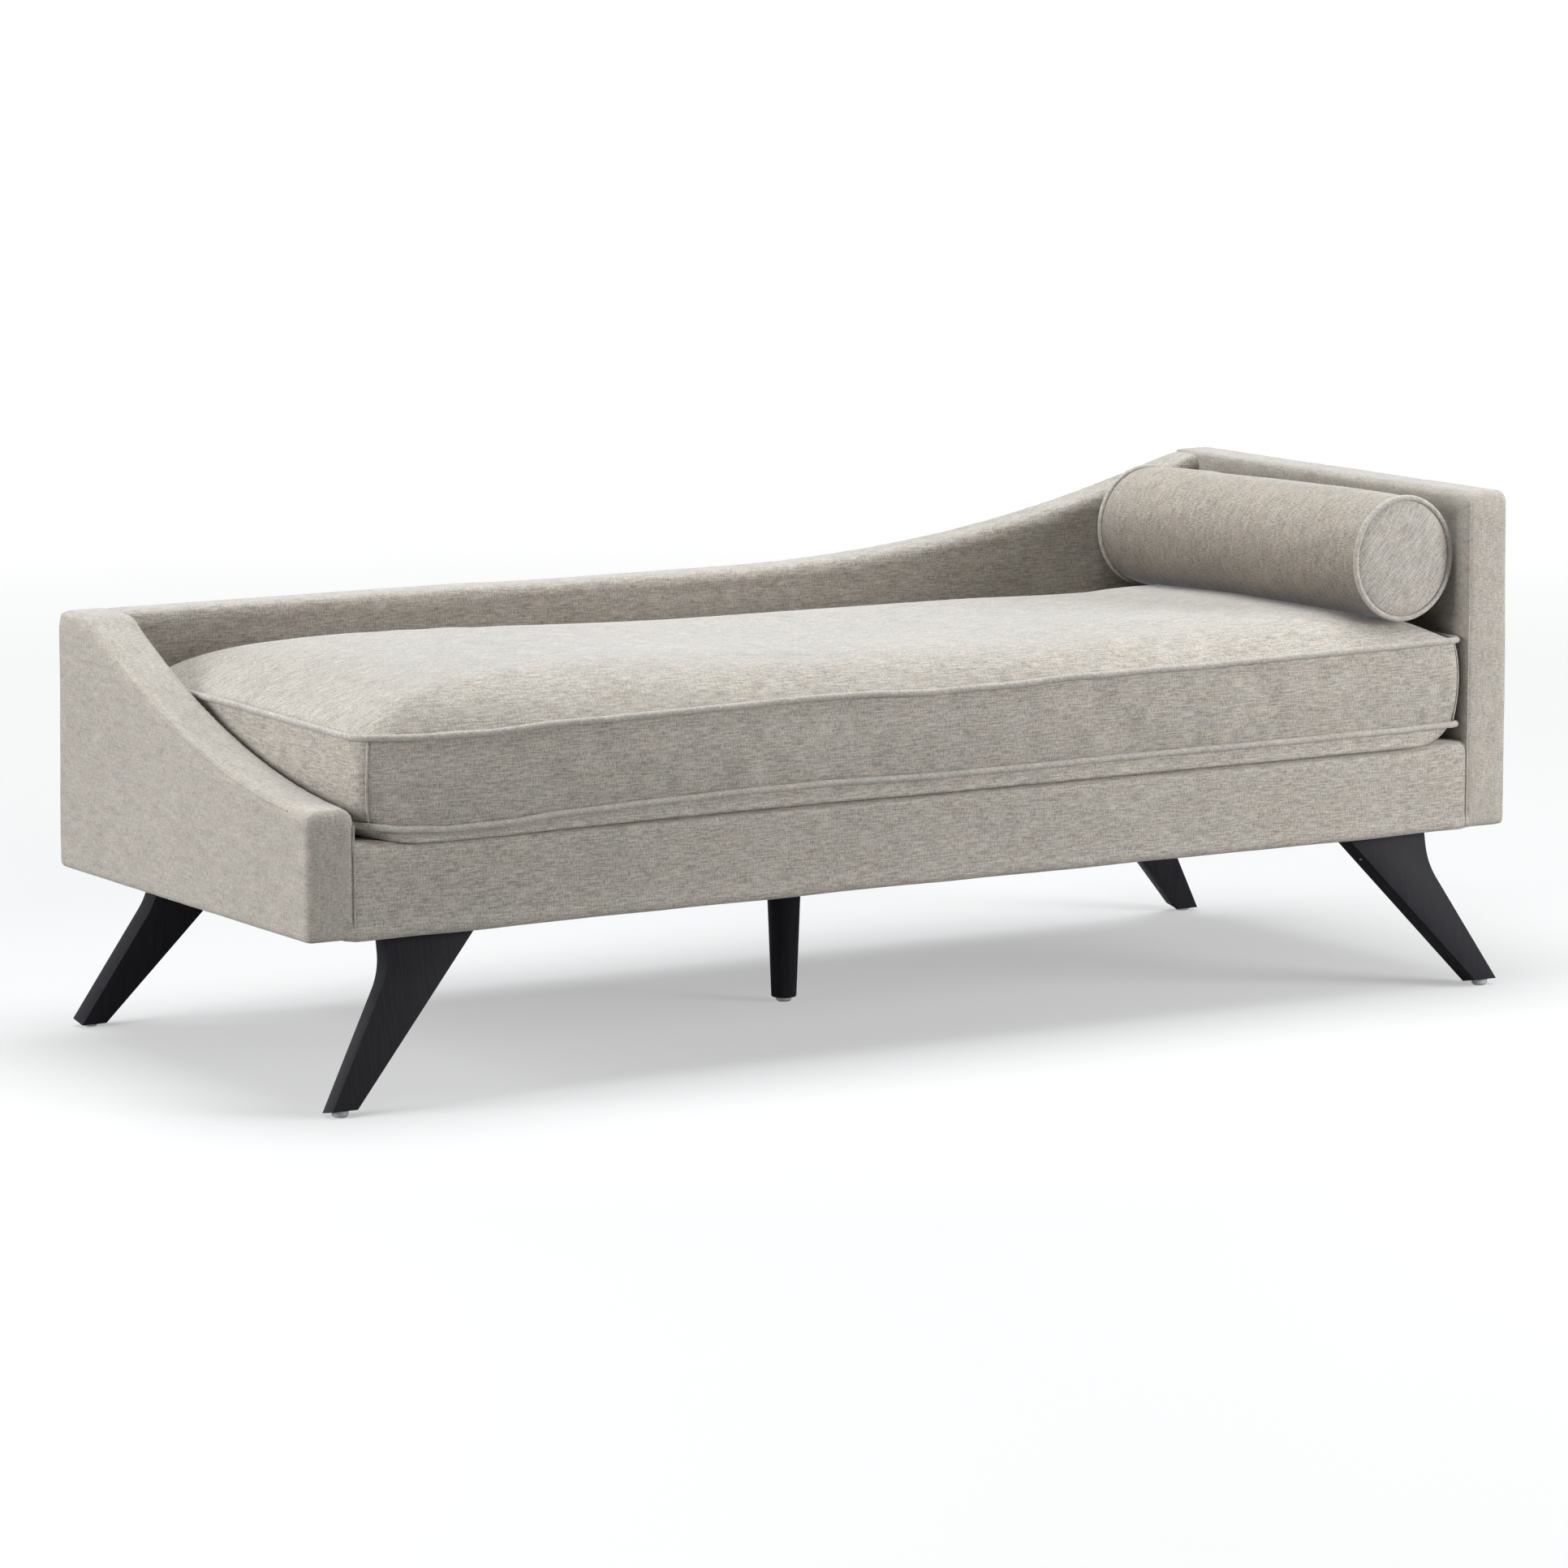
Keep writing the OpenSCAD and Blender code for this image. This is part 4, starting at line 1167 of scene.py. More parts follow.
@dataclass
class FrameSeams:
    """The sewn lines of the body: up each front corner, and along the foot end's sweep."""

    body: Body
    radius: float = 1.3 * MM
    outside: float = 0.8 * MM
    wobble: float = 0.8 * MM
    sweep_drop: float = 8 * MM
    sweep_sunk: float = 0.3 * MM
    sweep_wobble: float = 1.4 * MM
    sweep_front: float = 58 * MM
    sweep_rear: float = 184 * MM

    def front_line(self, end: End) -> list[Vector]:
        """The seam up the inner edge of an end's front face.

        Args:
            end: the end.

        Returns:
            The seam's points.
        """
        body = self.body
        heights = spaced(body.low + 3 * MM, body.end_line(end, -body.half_d) - body.drop - 2 * MM, 90)
        x = end.value * (body.seat + self.outside)
        y = -body.half_d - 0.1 * MM
        return [Vector((x + self.wobble * noise.noise(Vector((z * 12, x, 0))), y, z)) for z in heights]

    def sweep_line(self) -> list[Vector]:
        """The seam on the outside of the foot end, just under its rolled edge.

        Returns:
            The seam's points.
        """
        body = self.body
        turn = math.asin(1 - self.sweep_drop / body.roll)
        out = body.half_l - body.roll * (1 - math.cos(turn)) - self.sweep_sunk
        path = []
        for y in spaced(-body.half_d + self.sweep_front, body.half_d - self.sweep_rear, 140):
            wave = self.sweep_wobble * noise.noise(Vector((y * 7, 4, 0)))
            path.append(Vector((-out, y, body.foot_line(y) - self.sweep_drop + wave)))
        return path

    def build(self, wardrobe: Wardrobe) -> list[bpy.types.Object]:
        """Models and dresses the seams.

        Args:
            wardrobe: the finishes.

        Returns:
            The pieces.
        """
        lines = (
            ("foot_end_front_seam", self.front_line(End.FOOT), ACROSS),
            ("head_end_front_seam", self.front_line(End.HEAD), ACROSS),
            ("foot_end_sweep_seam", self.sweep_line(), ALONG),
        )
        pieces = [tube(name, path, self.radius, up) for name, path, up in lines]
        return [wardrobe.complete(piece, END_WEAVE, "frame") for piece in pieces]


# The loose cushions


@dataclass(frozen=True)
class Profile:
    """Values measured at places along the length, in millimetres, with smooth steps between."""

    places: tuple[float, ...]
    values: tuple[float, ...]

    def at(self, x: float) -> float:
        """The value at a place along the length.

        Args:
            x: the place, in metres.

        Returns:
            The value, in the measure of the profile's values.
        """
        spot = x / MM
        if spot <= self.places[0]:
            return self.values[0]
        for near, far, first, second in zip(self.places, self.places[1:], self.values, self.values[1:]):
            if spot <= far:
                return first + (second - first) * step_up(spot, near, far)
        return self.values[-1]


CLOTH_FRAMES = 20
CLOTH_SETTINGS = {
    "quality": 5,
    "mass": 0.4,
    "tension_stiffness": 25,
    "compression_stiffness": 25,
    "shear_stiffness": 8,
    "bending_stiffness": 1.5,
    "use_pressure": True,
    "uniform_pressure_force": 1.0,
}


def puffed(piece: bpy.types.Object, held: Iterable[int], growth: float, cap: float) -> None:
    """Inflates a closed cover with Blender's cloth and keeps the result.

    Args:
        piece: the cover.
        held: the points that stay in place.
        growth: by how much the cloth is larger than the form.
        cap: how far a point may move.
    """
    start = [v.co.copy() for v in piece.data.vertices]
    group = piece.vertex_groups.new(name="sewn_and_resting")
    group.add(list(held), 1.0, "REPLACE")
    cloth = piece.modifiers.new("Cloth", "CLOTH")
    for name, value in CLOTH_SETTINGS.items():
        setattr(cloth.settings, name, value)
    cloth.settings.shrink_min = -growth
    cloth.settings.effector_weights.gravity = 0
    cloth.settings.vertex_group_mass = group.name
    cloth.collision_settings.use_collision = False
    cloth.point_cache.frame_start = 1
    cloth.point_cache.frame_end = CLOTH_FRAMES
    for frame in range(1, CLOTH_FRAMES + 1):
        bpy.context.scene.frame_set(frame)
    only(piece)
    bpy.ops.object.modifier_apply(modifier=cloth.name)
    bpy.context.scene.frame_set(1)
    for vertex, place in zip(piece.data.vertices, start):
        move = vertex.co - place
        if move.length > cap:
            vertex.co = place + move.normalized() * cap
    piece.vertex_groups.clear()


def inner_copy(cover: bpy.types.Object, name: str, inset: float) -> bpy.types.Object:
    """Copies a cover a little inside itself, as the filling that it holds.

    Args:
        cover: the cover.
        name: the copy's name.
        inset: how far inside the copy lies.

    Returns:
        The filling.
    """
    filling = placed(name, cover.data.copy())
    apply_modifier(filling, "SMOOTH", factor=0.5, iterations=2)
    ripple(filling, lambda point, normal: -inset)
    return filling


@dataclass
class SeatCushion:
    """The loose boxed cushion: crowned top, welted edges and boxing between them."""

    low: float
    high: float
    top_welt: float
    bottom_welt: float
    half_l: float
    half_d: float
    middle_y: float
    welt: float
    cell: float = 11 * MM
    foot_corner: float = 36 * MM
    head_corner: float = 13 * MM
    head_reach: float = 3 * MM
    reach_from: float = 0.78
    reach_to: float = 0.9
    level_sway: float = 0.8 * MM
    out_sway: float = 1.3 * MM
    bolster_dip: float = 7 * MM
    dip_from: float = 0.38
    dip_to: float = 0.66
    swell: float = 6.5 * MM
    seam_radius: float = 1.5 * MM
    seam_turn: float = 52.0
    seam_stand: float = 0.3 * MM
    head_seam_stand: float = -0.7 * MM
    seam_bow: float = 0.7 * MM
    seam_steps: int = 24
    held_edge: float = 25 * MM
    held_near: float = 4 * MM
    welt_step: float = 9 * MM
    fold: float = 0.18
    crown_share: float = 0.97
    square_boxing: float = 0.55
    top_fade: float = 12 * MM
    belly_fade: float = 17 * MM
    welt_out: float = 0.48
    welt_round: float = 0.53
    crown: Profile = Profile((-590, 0, 988), (61, 43, 48))
    fullness: Profile = Profile((-590, 0, 988), (9, 11, 18))
    depth_fullness: Profile = Profile((-590, 0, 500), (7, 10, 7))
    top_sway: Profile = Profile(
        (-900, -810, -720, -600, -420, -210, -120, 0, 120, 240, 420, 600, 760, 900),
        (-4, -8, -8.5, -4.4, -2.6, 0.8, 0, -4.6, -3.5, 0.3, 0.7, 2.2, 4.8, 7),
    )
    bottom_sway: Profile = Profile(
        (-920, -840, -780, -700, -600, -480, -330, -180, 0, 120, 420, 600, 760, 910),
        (1, -8.8, -12.7, -12.2, -5.7, -2.5, 0.8, 2.2, -1.2, -0.6, 1.5, 1.8, 3, 4.5),
    )
    wrap_inset: float = 4 * MM

    @classmethod
    def read(cls) -> "SeatCushion":
        """Reads the cushion's sizes from its packed cover and welts.

        Returns:
            The cushion.
        """
        low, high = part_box("seat_cushion_cover")
        top_low, top_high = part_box("seat_cushion_top_welt")
        bottom_low, bottom_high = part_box("seat_cushion_bottom_welt")
        welt = top_high.z - top_low.z
        return cls(
            low=low.z,
            high=high.z,
            top_welt=(top_low.z + top_high.z) / 2,
            bottom_welt=(bottom_low.z + bottom_high.z) / 2,
            half_l=top_high.x - welt,
            half_d=(top_high.y - top_low.y) / 2 - welt,
            middle_y=(top_high.y + top_low.y) / 2,
            welt=welt,
        )

    def plan(self, x: float, y: float, sharpness: float = 0) -> tuple[Vector, Vector, float]:
        """Rounds the corners of a square plan.

        Args:
            x: place along the length in the square plan.
            y: place across the depth in the square plan.
            sharpness: 0 for a round corner, up to 1 for a square one.

        Returns:
            The place in the rounded plan, the way out from there, and the distance to the rim.
        """
        corner = self.head_corner if x > 0 else self.foot_corner
        a, b = abs(x) - (self.half_l - corner), abs(y) - (self.half_d - corner)
        reach = max(a, b)
        if a <= 0 or b <= 0:
            way = ACROSS if b > a or self.half_d - abs(y) < self.half_l - abs(x) else ALONG
            rim = min(self.half_l - abs(x), self.half_d - abs(y))
            spot = Vector((abs(x), abs(y), 0))
        else:
            turn = math.radians(45) * (b / a if a >= b else 2 - a / b)
            way = Vector((math.cos(turn), math.sin(turn), 0))
            middle = Vector((self.half_l - corner, self.half_d - corner, 0))
            spot = (middle + reach * way).lerp(Vector((abs(x), abs(y), 0)), sharpness)
            rim = corner - reach
        sign = Vector((math.copysign(1, x), math.copysign(1, y), 1))
        return spot * sign, way * sign, max(rim, 0)

    def sway(self, point: Vector, line: Profile) -> Vector:
        """How far a sewn edge wanders from its straight line at a point.

        Args:
            point: the place in the cushion's plan.
            line: the edge's rise and fall along the front.

        Returns:
            The move.
        """
        seed = line.values[0]
        front = step_up(-point.y, -0.3 * self.half_d, self.half_d)
        level = front * line.at(point.x) * MM + self.level_sway * wander(point, (12, 12, 0), seed)
        out = self.out_sway * wander(point, (7, 7, 0), seed + 4)
        reach = self.head_reach * step_up(point.x, self.reach_from, self.reach_to)
        return Vector((reach, -out if point.y < 0 else 0, level))

    def place(self, u: float, v: float, w: float) -> Vector:
        """Maps a point of a box onto the cushion.

        Args:
            u: place along the length, from -1 to 1.
            v: place across the depth, from -1 to 1.
            w: place up the height, from -1 to 1.

        Returns:
            The point in the frame.
        """
        boxing = max(1 - w * w, 0)
        spot, way, rim = self.plan(u * self.half_l, v * self.half_d, self.square_boxing * boxing)
        height = (w + 1) / 2
        z = self.bottom_welt + (self.top_welt - self.bottom_welt) * height
        if abs(w) < 0.999:
            spot = spot + way * self.swell * boxing
        elif w > 0:
            along = 1 - abs(u) ** self.fullness.at(spot.x)
            across = 1 - abs(v) ** self.depth_fullness.at(spot.x)
            lower = (along + across - math.hypot(along - across, self.fold)) / 2
            share = self.crown_share * max(lower, 0) / (1 - self.fold / 2)
            dip = self.bolster_dip * step_up(spot.x, self.dip_from, self.dip_to) * step_up(v, 0, 0.7)
            z += (self.crown.at(spot.x) * MM - dip) * share
        else:
            z, spot = self.belly(spot, way, rim)
        fade = math.exp(-rim / (self.top_fade if w > 0 else self.belly_fade))
        sewn = self.sway(spot, self.top_sway) * height + self.sway(spot, self.bottom_sway) * (1 - height)
        return spot + Vector((0, self.middle_y, z)) + sewn * fade

    def belly(self, spot: Vector, way: Vector, rim: float) -> tuple[float, Vector]:
        """Lets the underside hang steeply from the bottom welt, then rest flat.

        Along the front it hangs furthest, out over the rolled edge of the rail.

        Args:
            spot: the place in plan.
            way: the way out from there.
            rim: the distance to the rim.

        Returns:
            The height, and the place moved to suit.
        """
        depth = self.bottom_welt - self.low + 0.3 * MM
        corner = step_up(self.half_l - abs(spot.x), 80 * MM, 8 * MM) if way.y < 0 else 0
        front = step_up(-way.y, 0.6, 0.95) * (1 - 0.8 * corner)
        rows = (
            (0, 0, 0),
            (11 * MM, 0.5 * MM - 7 * MM * front + 5 * MM * corner, 0.5 + 0.2 * front),
            (22 * MM, 2.5 * MM - 17.1 * MM * front + 12 * MM * corner, 0.86 + 0.42 * front),
            (33 * MM, 22 * MM - 16 * MM * front, 1 + 0.1 * front),
            (44 * MM, 44 * MM, 1),
        )
        for (start, near, high), (end, far, low) in zip(rows, rows[1:]):
            if rim <= end:
                share = (rim - start) / (end - start)
                inward = near + (far - near) * share
                return self.bottom_welt - depth * (high + (low - high) * share), spot + way * (rim - inward)
        return self.bottom_welt - depth, spot

    def blank(self) -> bpy.types.Object:
        """Cuts a box into even faces and shapes it into the cushion.

        Returns:
            The cushion's cover before it is filled.
        """
        deselect_all()
        bpy.ops.mesh.primitive_cube_add(size=2)
        piece = bpy.context.object
        piece.name = "seat_cushion_upholstery"
        lengths = (2 * self.half_l, 2 * self.half_d, self.top_welt - self.bottom_welt)
        for axis, length in enumerate(lengths):
            self.cut_across(piece, axis, round(length / self.cell) - 1)
        for vertex in piece.data.vertices:
            vertex.co = self.place(*vertex.co)
        return piece

    def cut_across(self, piece: bpy.types.Object, axis: int, cuts: int) -> None:
        """Cuts a box evenly across one axis.

        Args:
            piece: the box.
            axis: 0, 1 or 2 for X, Y or Z.
            cuts: how many cuts are made.
        """
        only(piece)
        bpy.ops.object.mode_set(mode="EDIT")
        bpy.ops.mesh.select_mode(type="EDGE")
        bpy.ops.mesh.select_all(action="DESELECT")
        form = bmesh.from_edit_mesh(piece.data)
        for edge in form.edges:
            along = edge.verts[1].co - edge.verts[0].co
            edge.select = abs(along[axis]) > 0.99 * along.length
        bmesh.update_edit_mesh(piece.data)
        bpy.ops.mesh.subdivide(number_cuts=cuts)
        bpy.ops.object.mode_set(mode="OBJECT")

    def held(self, piece: bpy.types.Object) -> list[int]:
        """Finds the points that are sewn to a welt or rest on the deck.

        Args:
            piece: the cover.

        Returns:
            The points' numbers.
        """
        found = []
        for vertex in piece.data.vertices:
            x, y, z = vertex.co
            rim = min(self.half_l - abs(x), self.half_d - abs(y - self.middle_y))
            sewn = any(abs(z - line) < self.held_near for line in (self.top_welt, self.bottom_welt))
            if z < self.bottom_welt - self.held_near or (sewn and rim <= self.held_edge):
                found.append(vertex.index)
        return found

    def welt_path(self, height: float, line: Profile) -> list[Vector]:
        """The line that a welt follows.

        Args:
            height: the sewn edge's height.
            line: the edge's rise and fall along the front.

        Returns:
            The points.
        """
        path = []
        for x, y in square_round(self.half_l, self.half_d, self.welt_step):
            spot, way, _ = self.plan(x, y)
            out = spot + way * self.welt * self.welt_out
            path.append(out + self.sway(spot, line) + Vector((0, self.middle_y, height)))
        return path

    def seam_path(self, side: int, front: int) -> list[Vector]:
        """The line of an upright seam in the boxing, at one corner.

        Args:
            side: -1 for the foot end, 1 for the head end.
            front: -1 for the front, 1 for the rear.

        Returns:
            The points.
        """
        turn = math.radians(self.seam_turn)
        corner = self.head_corner if side > 0 else self.foot_corner
        stand = self.head_seam_stand if side > 0 else self.seam_stand
        u = side * (self.half_l - corner + corner / math.tan(turn)) / self.half_l
        path = []
        for w in spaced(-1, 1, self.seam_steps)[1:-1]:
            edge = self.place(u, front, w)
            _, way, _ = self.plan(u * self.half_l, front * self.half_d, self.square_boxing * (1 - w * w))
            path.append(edge + way * stand + Vector((self.seam_bow * math.sin(2.6 * w), 0, 0)))
        return path

    def build(self, wardrobe: Wardrobe) -> list[bpy.types.Object]:
        """Models and dresses the cushion, its welts and its upright seams.

        Args:
            wardrobe: the finishes.

        Returns:
            The pieces.
        """
        cover = self.blank()
        puffed(cover, self.held(cover), growth=0.007, cap=2 * MM)
        wrap = inner_copy(cover, "seat_cushion_fibre_wrap", self.wrap_inset)
        apply_modifier(cover, "SUBSURF", levels=1, render_levels=1)
        body = "seat_cushion"
        wardrobe.complete(cover, LEVEL_WEAVE, body, "seat_cushion_cover")
        wardrobe.complete(wrap, FIBRE, body, "seat_cushion_fibre")
        pieces = [cover, wrap]
        edges = (("top", self.top_welt, self.top_sway), ("bottom", self.bottom_welt, self.bottom_sway))
        for level, height, line in edges:
            path = self.welt_path(height, line)
            thick = self.welt * self.welt_round
            welt = tube(f"seat_cushion_{level}_piping", path, thick, UP, closed=True, sides=12)
            node = f"seat_cushion_{level}_welt"
            pieces.append(wardrobe.complete(welt, BIAS_WEAVE, body, node))
        for side, end in ((-1, "foot"), (1, "head")):
            for front, edge in ((-1, "front"), (1, "rear")):
                path = self.seam_path(side, front)
                seam = tube(f"seat_cushion_{end}_{edge}_seam", path, self.seam_radius, ALONG)
                pieces.append(wardrobe.complete(seam, BIAS_WEAVE, body))
        return pieces


def square_round(half_l: float, half_d: float, step: float) -> list[tuple[float, float]]:
    """Points round a rectangle, at even steps along each side.

    Args:
        half_l: half its length.
        half_d: half its depth.
        step: about how far apart the points are.

    Returns:
        The points, anticlockwise from above.
    """
    turns = ((half_l, -half_d), (half_l, half_d), (-half_l, half_d), (-half_l, -half_d))
    points = []
    for (x0, y0), (x1, y1) in zip(turns, turns[1:] + turns[:1]):
        count = round(math.hypot(x1 - x0, y1 - y0) / step)
        points += [(x0 + (x1 - x0) * i / count, y0 + (y1 - y0) * i / count) for i in range(count)]
    return points


@dataclass
class Bolster:
    """The loose round bolster with a welt round each end."""

    centre: Vector
    radius: float
    half_body: float
    welt: float
    cell: float = 10 * MM
    dome: float = 7 * MM
    wide: float = 0.93
    high: float = 0.975
    front_lift: float = 2 * MM
    rear_sink: float = 9.6 * MM
    rear_drift: float = 9 * MM
    barrel: float = 6 * MM
    cap_turn: float = -50.0
    wave: float = 0.9 * MM
    wave_from: float = 25 * MM
    welt_round: float = 0.52
    welt_out: float = 0.12
    welt_along: float = 0.55
    filling_inset: float = 3 * MM

    @classmethod
    def read(cls) -> "Bolster":
        """Reads the bolster's sizes from its packed cover and welts.

        Returns:
            The bolster.
        """
        low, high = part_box("bolster_cover")
        front_low, front_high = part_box("bolster_front_welt")
        rear_low, rear_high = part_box("bolster_rear_welt")
        return cls(
            centre=(front_low + rear_high) / 2,
            radius=(high.x - low.x) / 2,
            half_body=(rear_low.y - front_high.y) / 2,
            welt=front_high.y - front_low.y,
        )

    @property
    def edge(self) -> float:
        """How far from the middle each cap is sewn on."""
        return self.half_body + self.welt * 0.5

    def ring(self, radius: float, along: float) -> Loop:
        """A ring of points round the bolster's axis.

        Args:
            radius: the ring's radius, before the bolster settles.
            along: the ring's distance from the middle, negative towards the front.

        Returns:
            The points.
        """
        count = round(2 * math.pi * self.radius / self.cell)
        turns = [2 * math.pi * i / count for i in range(count)]
        centre = self.middle(along)
        flat = self.wide * radius
        tall = self.high * radius
        return [centre + Vector((flat * math.cos(t), 0, tall * math.sin(t))) for t in turns]

    def middle(self, along: float) -> Vector:
        """The bolster's settled axis, lower and further from the head end at the rear.

        Args:
            along: the distance from the middle, negative towards the front.

        Returns:
            The point on the axis.
        """
        share = (along / self.half_body + 1) / 2
        rise = self.front_lift - share * (self.front_lift + self.rear_sink)
        return self.centre + Vector((-share * self.rear_drift, along, rise))

    def rows(self) -> list[tuple[float, float]]:
        """Lists the rings from the front cap to the rear cap.

        Returns:
            Each ring's radius and distance from the middle.
        """
        shares = [0.06, 0.18, 0.3, 0.42, 0.54, 0.66, 0.78, 0.89]
        front = [(self.radius * s, -self.edge - self.dome * (1 - s**4)) for s in shares]
        places = spaced(-1, 1, round(2 * self.edge / self.cell))
        body = [(self.radius + self.barrel * (1 - abs(p) ** 7), self.edge * p) for p in places]
        return front + body + [(r, -y) for r, y in reversed(front)]

    def turn_caps(self, cover: bpy.types.Object, wardrobe: Wardrobe) -> None:
        """Lays the weave of the two caps flat and on the slant.

        Args:
            cover: the bolster's cover.
            wardrobe: the finishes.
        """
        cover.data.materials.append(wardrobe.material(CAP_WEAVE))
        turn = math.radians(self.cap_turn)
        corners = cover.data.uv_layers.active.data
        for face in cover.data.polygons:
            if abs(face.center.y - self.centre.y) < self.edge - 1 * MM:
                continue
            face.material_index = 1
            for index in face.loop_indices:
                point = cover.data.vertices[cover.data.loops[index].vertex_index].co
                point = point - self.middle(point.y - self.centre.y)
                corners[index].uv = (
                    point.x * math.cos(turn) - point.z * math.sin(turn),
                    point.x * math.sin(turn) + point.z * math.cos(turn),
                )

    def pull(self, point: Vector, normal: Vector) -> float:
        """Height of the soft waves in the cover at a point, nothing at the welts."""
        away = min(abs(abs(point.y - self.centre.y) - self.edge) / self.wave_from, 1)
        return away * self.wave * wander(point, (12, 5, 12), 4.4)

    def build(self, wardrobe: Wardrobe) -> list[bpy.types.Object]:
        """Models and dresses the bolster and its welts.

        Args:
            wardrobe: the finishes.

        Returns:
            The pieces.
        """
        cover = lofted("bolster_upholstery", [self.ring(r, y) for r, y in self.rows()])
        places = {v.index: abs(v.co.y - self.centre.y) for v in cover.data.vertices}
        sewn = [index for index, away in places.items() if abs(away - self.edge) < MM]
        puffed(cover, sewn, growth=0.004, cap=0.8 * MM)
        ripple(cover, self.pull)
        filling = inner_copy(cover, "bolster_filling", self.filling_inset)
        wardrobe.complete(cover, BOLSTER_WEAVE_WITH_PAINTED_LIGHT, "bolster", "bolster_cover")
        self.turn_caps(cover, wardrobe)
        apply_modifier(cover, "SUBSURF", levels=1, render_levels=1)
        wardrobe.complete(filling, FIBRE, "bolster", "bolster_core")
        pieces = [cover, filling]
        thick, out = self.welt * self.welt_round, self.welt * self.welt_out
        for name, sign in (("front", -1), ("rear", 1)):
            path = self.ring(self.radius + out, sign * (self.half_body + self.welt * self.welt_along))
            welt = tube(f"bolster_{name}_piping", path, thick, ACROSS, closed=True, sides=12)
            node = f"bolster_{name}_welt"
            pieces.append(wardrobe.complete(welt, BIAS_WEAVE, "bolster", node))
        return pieces


# The legs


@dataclass
class Legs:
    """The four board legs and the round centre leg, their edges eased and lacquered."""

    nodes: dict[str, bpy.types.Object]
    ease: float = 1.6 * MM
    flat_angle: float = 0.6
    edge_angle: float = 35.0
    shade_angle: float = 32.0
    names: tuple[str, ...] = (
        "foot_front_leg", "foot_rear_leg", "head_front_leg", "head_rear_leg", "centre_leg"
    )

    def build(self, wardrobe: Wardrobe) -> list[bpy.types.Object]:
        """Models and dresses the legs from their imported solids.

        Args:
            wardrobe: the finishes.

        Returns:
            The pieces.
        """
        pieces = []
        for name in self.names:
            piece = placed(f"{name}_lacquered", self.nodes[name].data.copy())
            only(piece)
            bpy.ops.object.mode_set(mode="EDIT")
            bpy.ops.mesh.select_all(action="SELECT")
            bpy.ops.mesh.remove_doubles(threshold=DOUBLED)
            bpy.ops.mesh.dissolve_limited(angle_limit=math.radians(self.flat_angle))
            bpy.ops.object.mode_set(mode="OBJECT")
            apply_modifier(
                piece, "BEVEL", width=self.ease, segments=3, limit_method="ANGLE",
                angle_limit=math.radians(self.edge_angle), harden_normals=False,
            )
            wardrobe.complete(piece, LACQUER, "frame", name, self.shade_angle)
            pieces.append(piece)
        return pieces


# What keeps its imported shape


PACKED_FINISHES = (
    (TIMBER, (
        "back_bottom_rail", "back_top_rail", "front_rail_board", "rear_seat_rail", "leg_blocks",
        "centre_leg_block",
    )),
    (CROSS_TIMBER, (
        "foot_end_bottom_rail", "foot_end_top_rail", "head_end_bottom_rail", "head_end_top_rail",
        "end_seat_rails", "cross_members",
    )),
    (UPRIGHT_TIMBER, ("foot_end_posts", "head_end_posts", "back_posts")),
    (HARDBOARD, ("foot_end_skins", "head_end_skins", "back_skins")),
    (FOAM, ("foot_end_foam", "head_end_foam", "back_foam", "deck_pad", "seat_cushion_core")),
    (WEBBING, ("cross_webbing", "long_webbing")),
    (LINING, ("deck_cloth", "dust_cover")),
    (NYLON, ("seat_cushion_zip", "bolster_zip")),
    (ZINC, ("frame_screws", "leg_bolts")),
    (BRASS, ("leg_inserts",)),
    (GLIDE, ("leg_glides",)),
)


# The studio


@dataclass(frozen=True)
class Lamp:
    """A square softbox: where it hangs, its side, its power in watts and what it looks at."""

    name: str
    place: Triple
    size: float
    power: float
    aim: Triple = (0, 0, 0.33)
    colour: Colour = (1, 1, 1)


SOFTBOXES = (
    Lamp("softbox_above", (0.2, 0.3, 4.6), 3.5, 205, colour=(0.95, 0.985, 1)),
    Lamp("softbox_left", (-5.2, 0.2, 1.7), 2.4, 186, colour=(0.98, 0.99, 1)),
    Lamp("softbox_right", (3.2, -3.6, 1.4), 2.0, 126, colour=(0.98, 0.99, 1)),
    Lamp("softbox_by_head_end", (2.0, -1.9, 0.9), 1.0, 11, (0.9, -0.4, 0.4)),
)


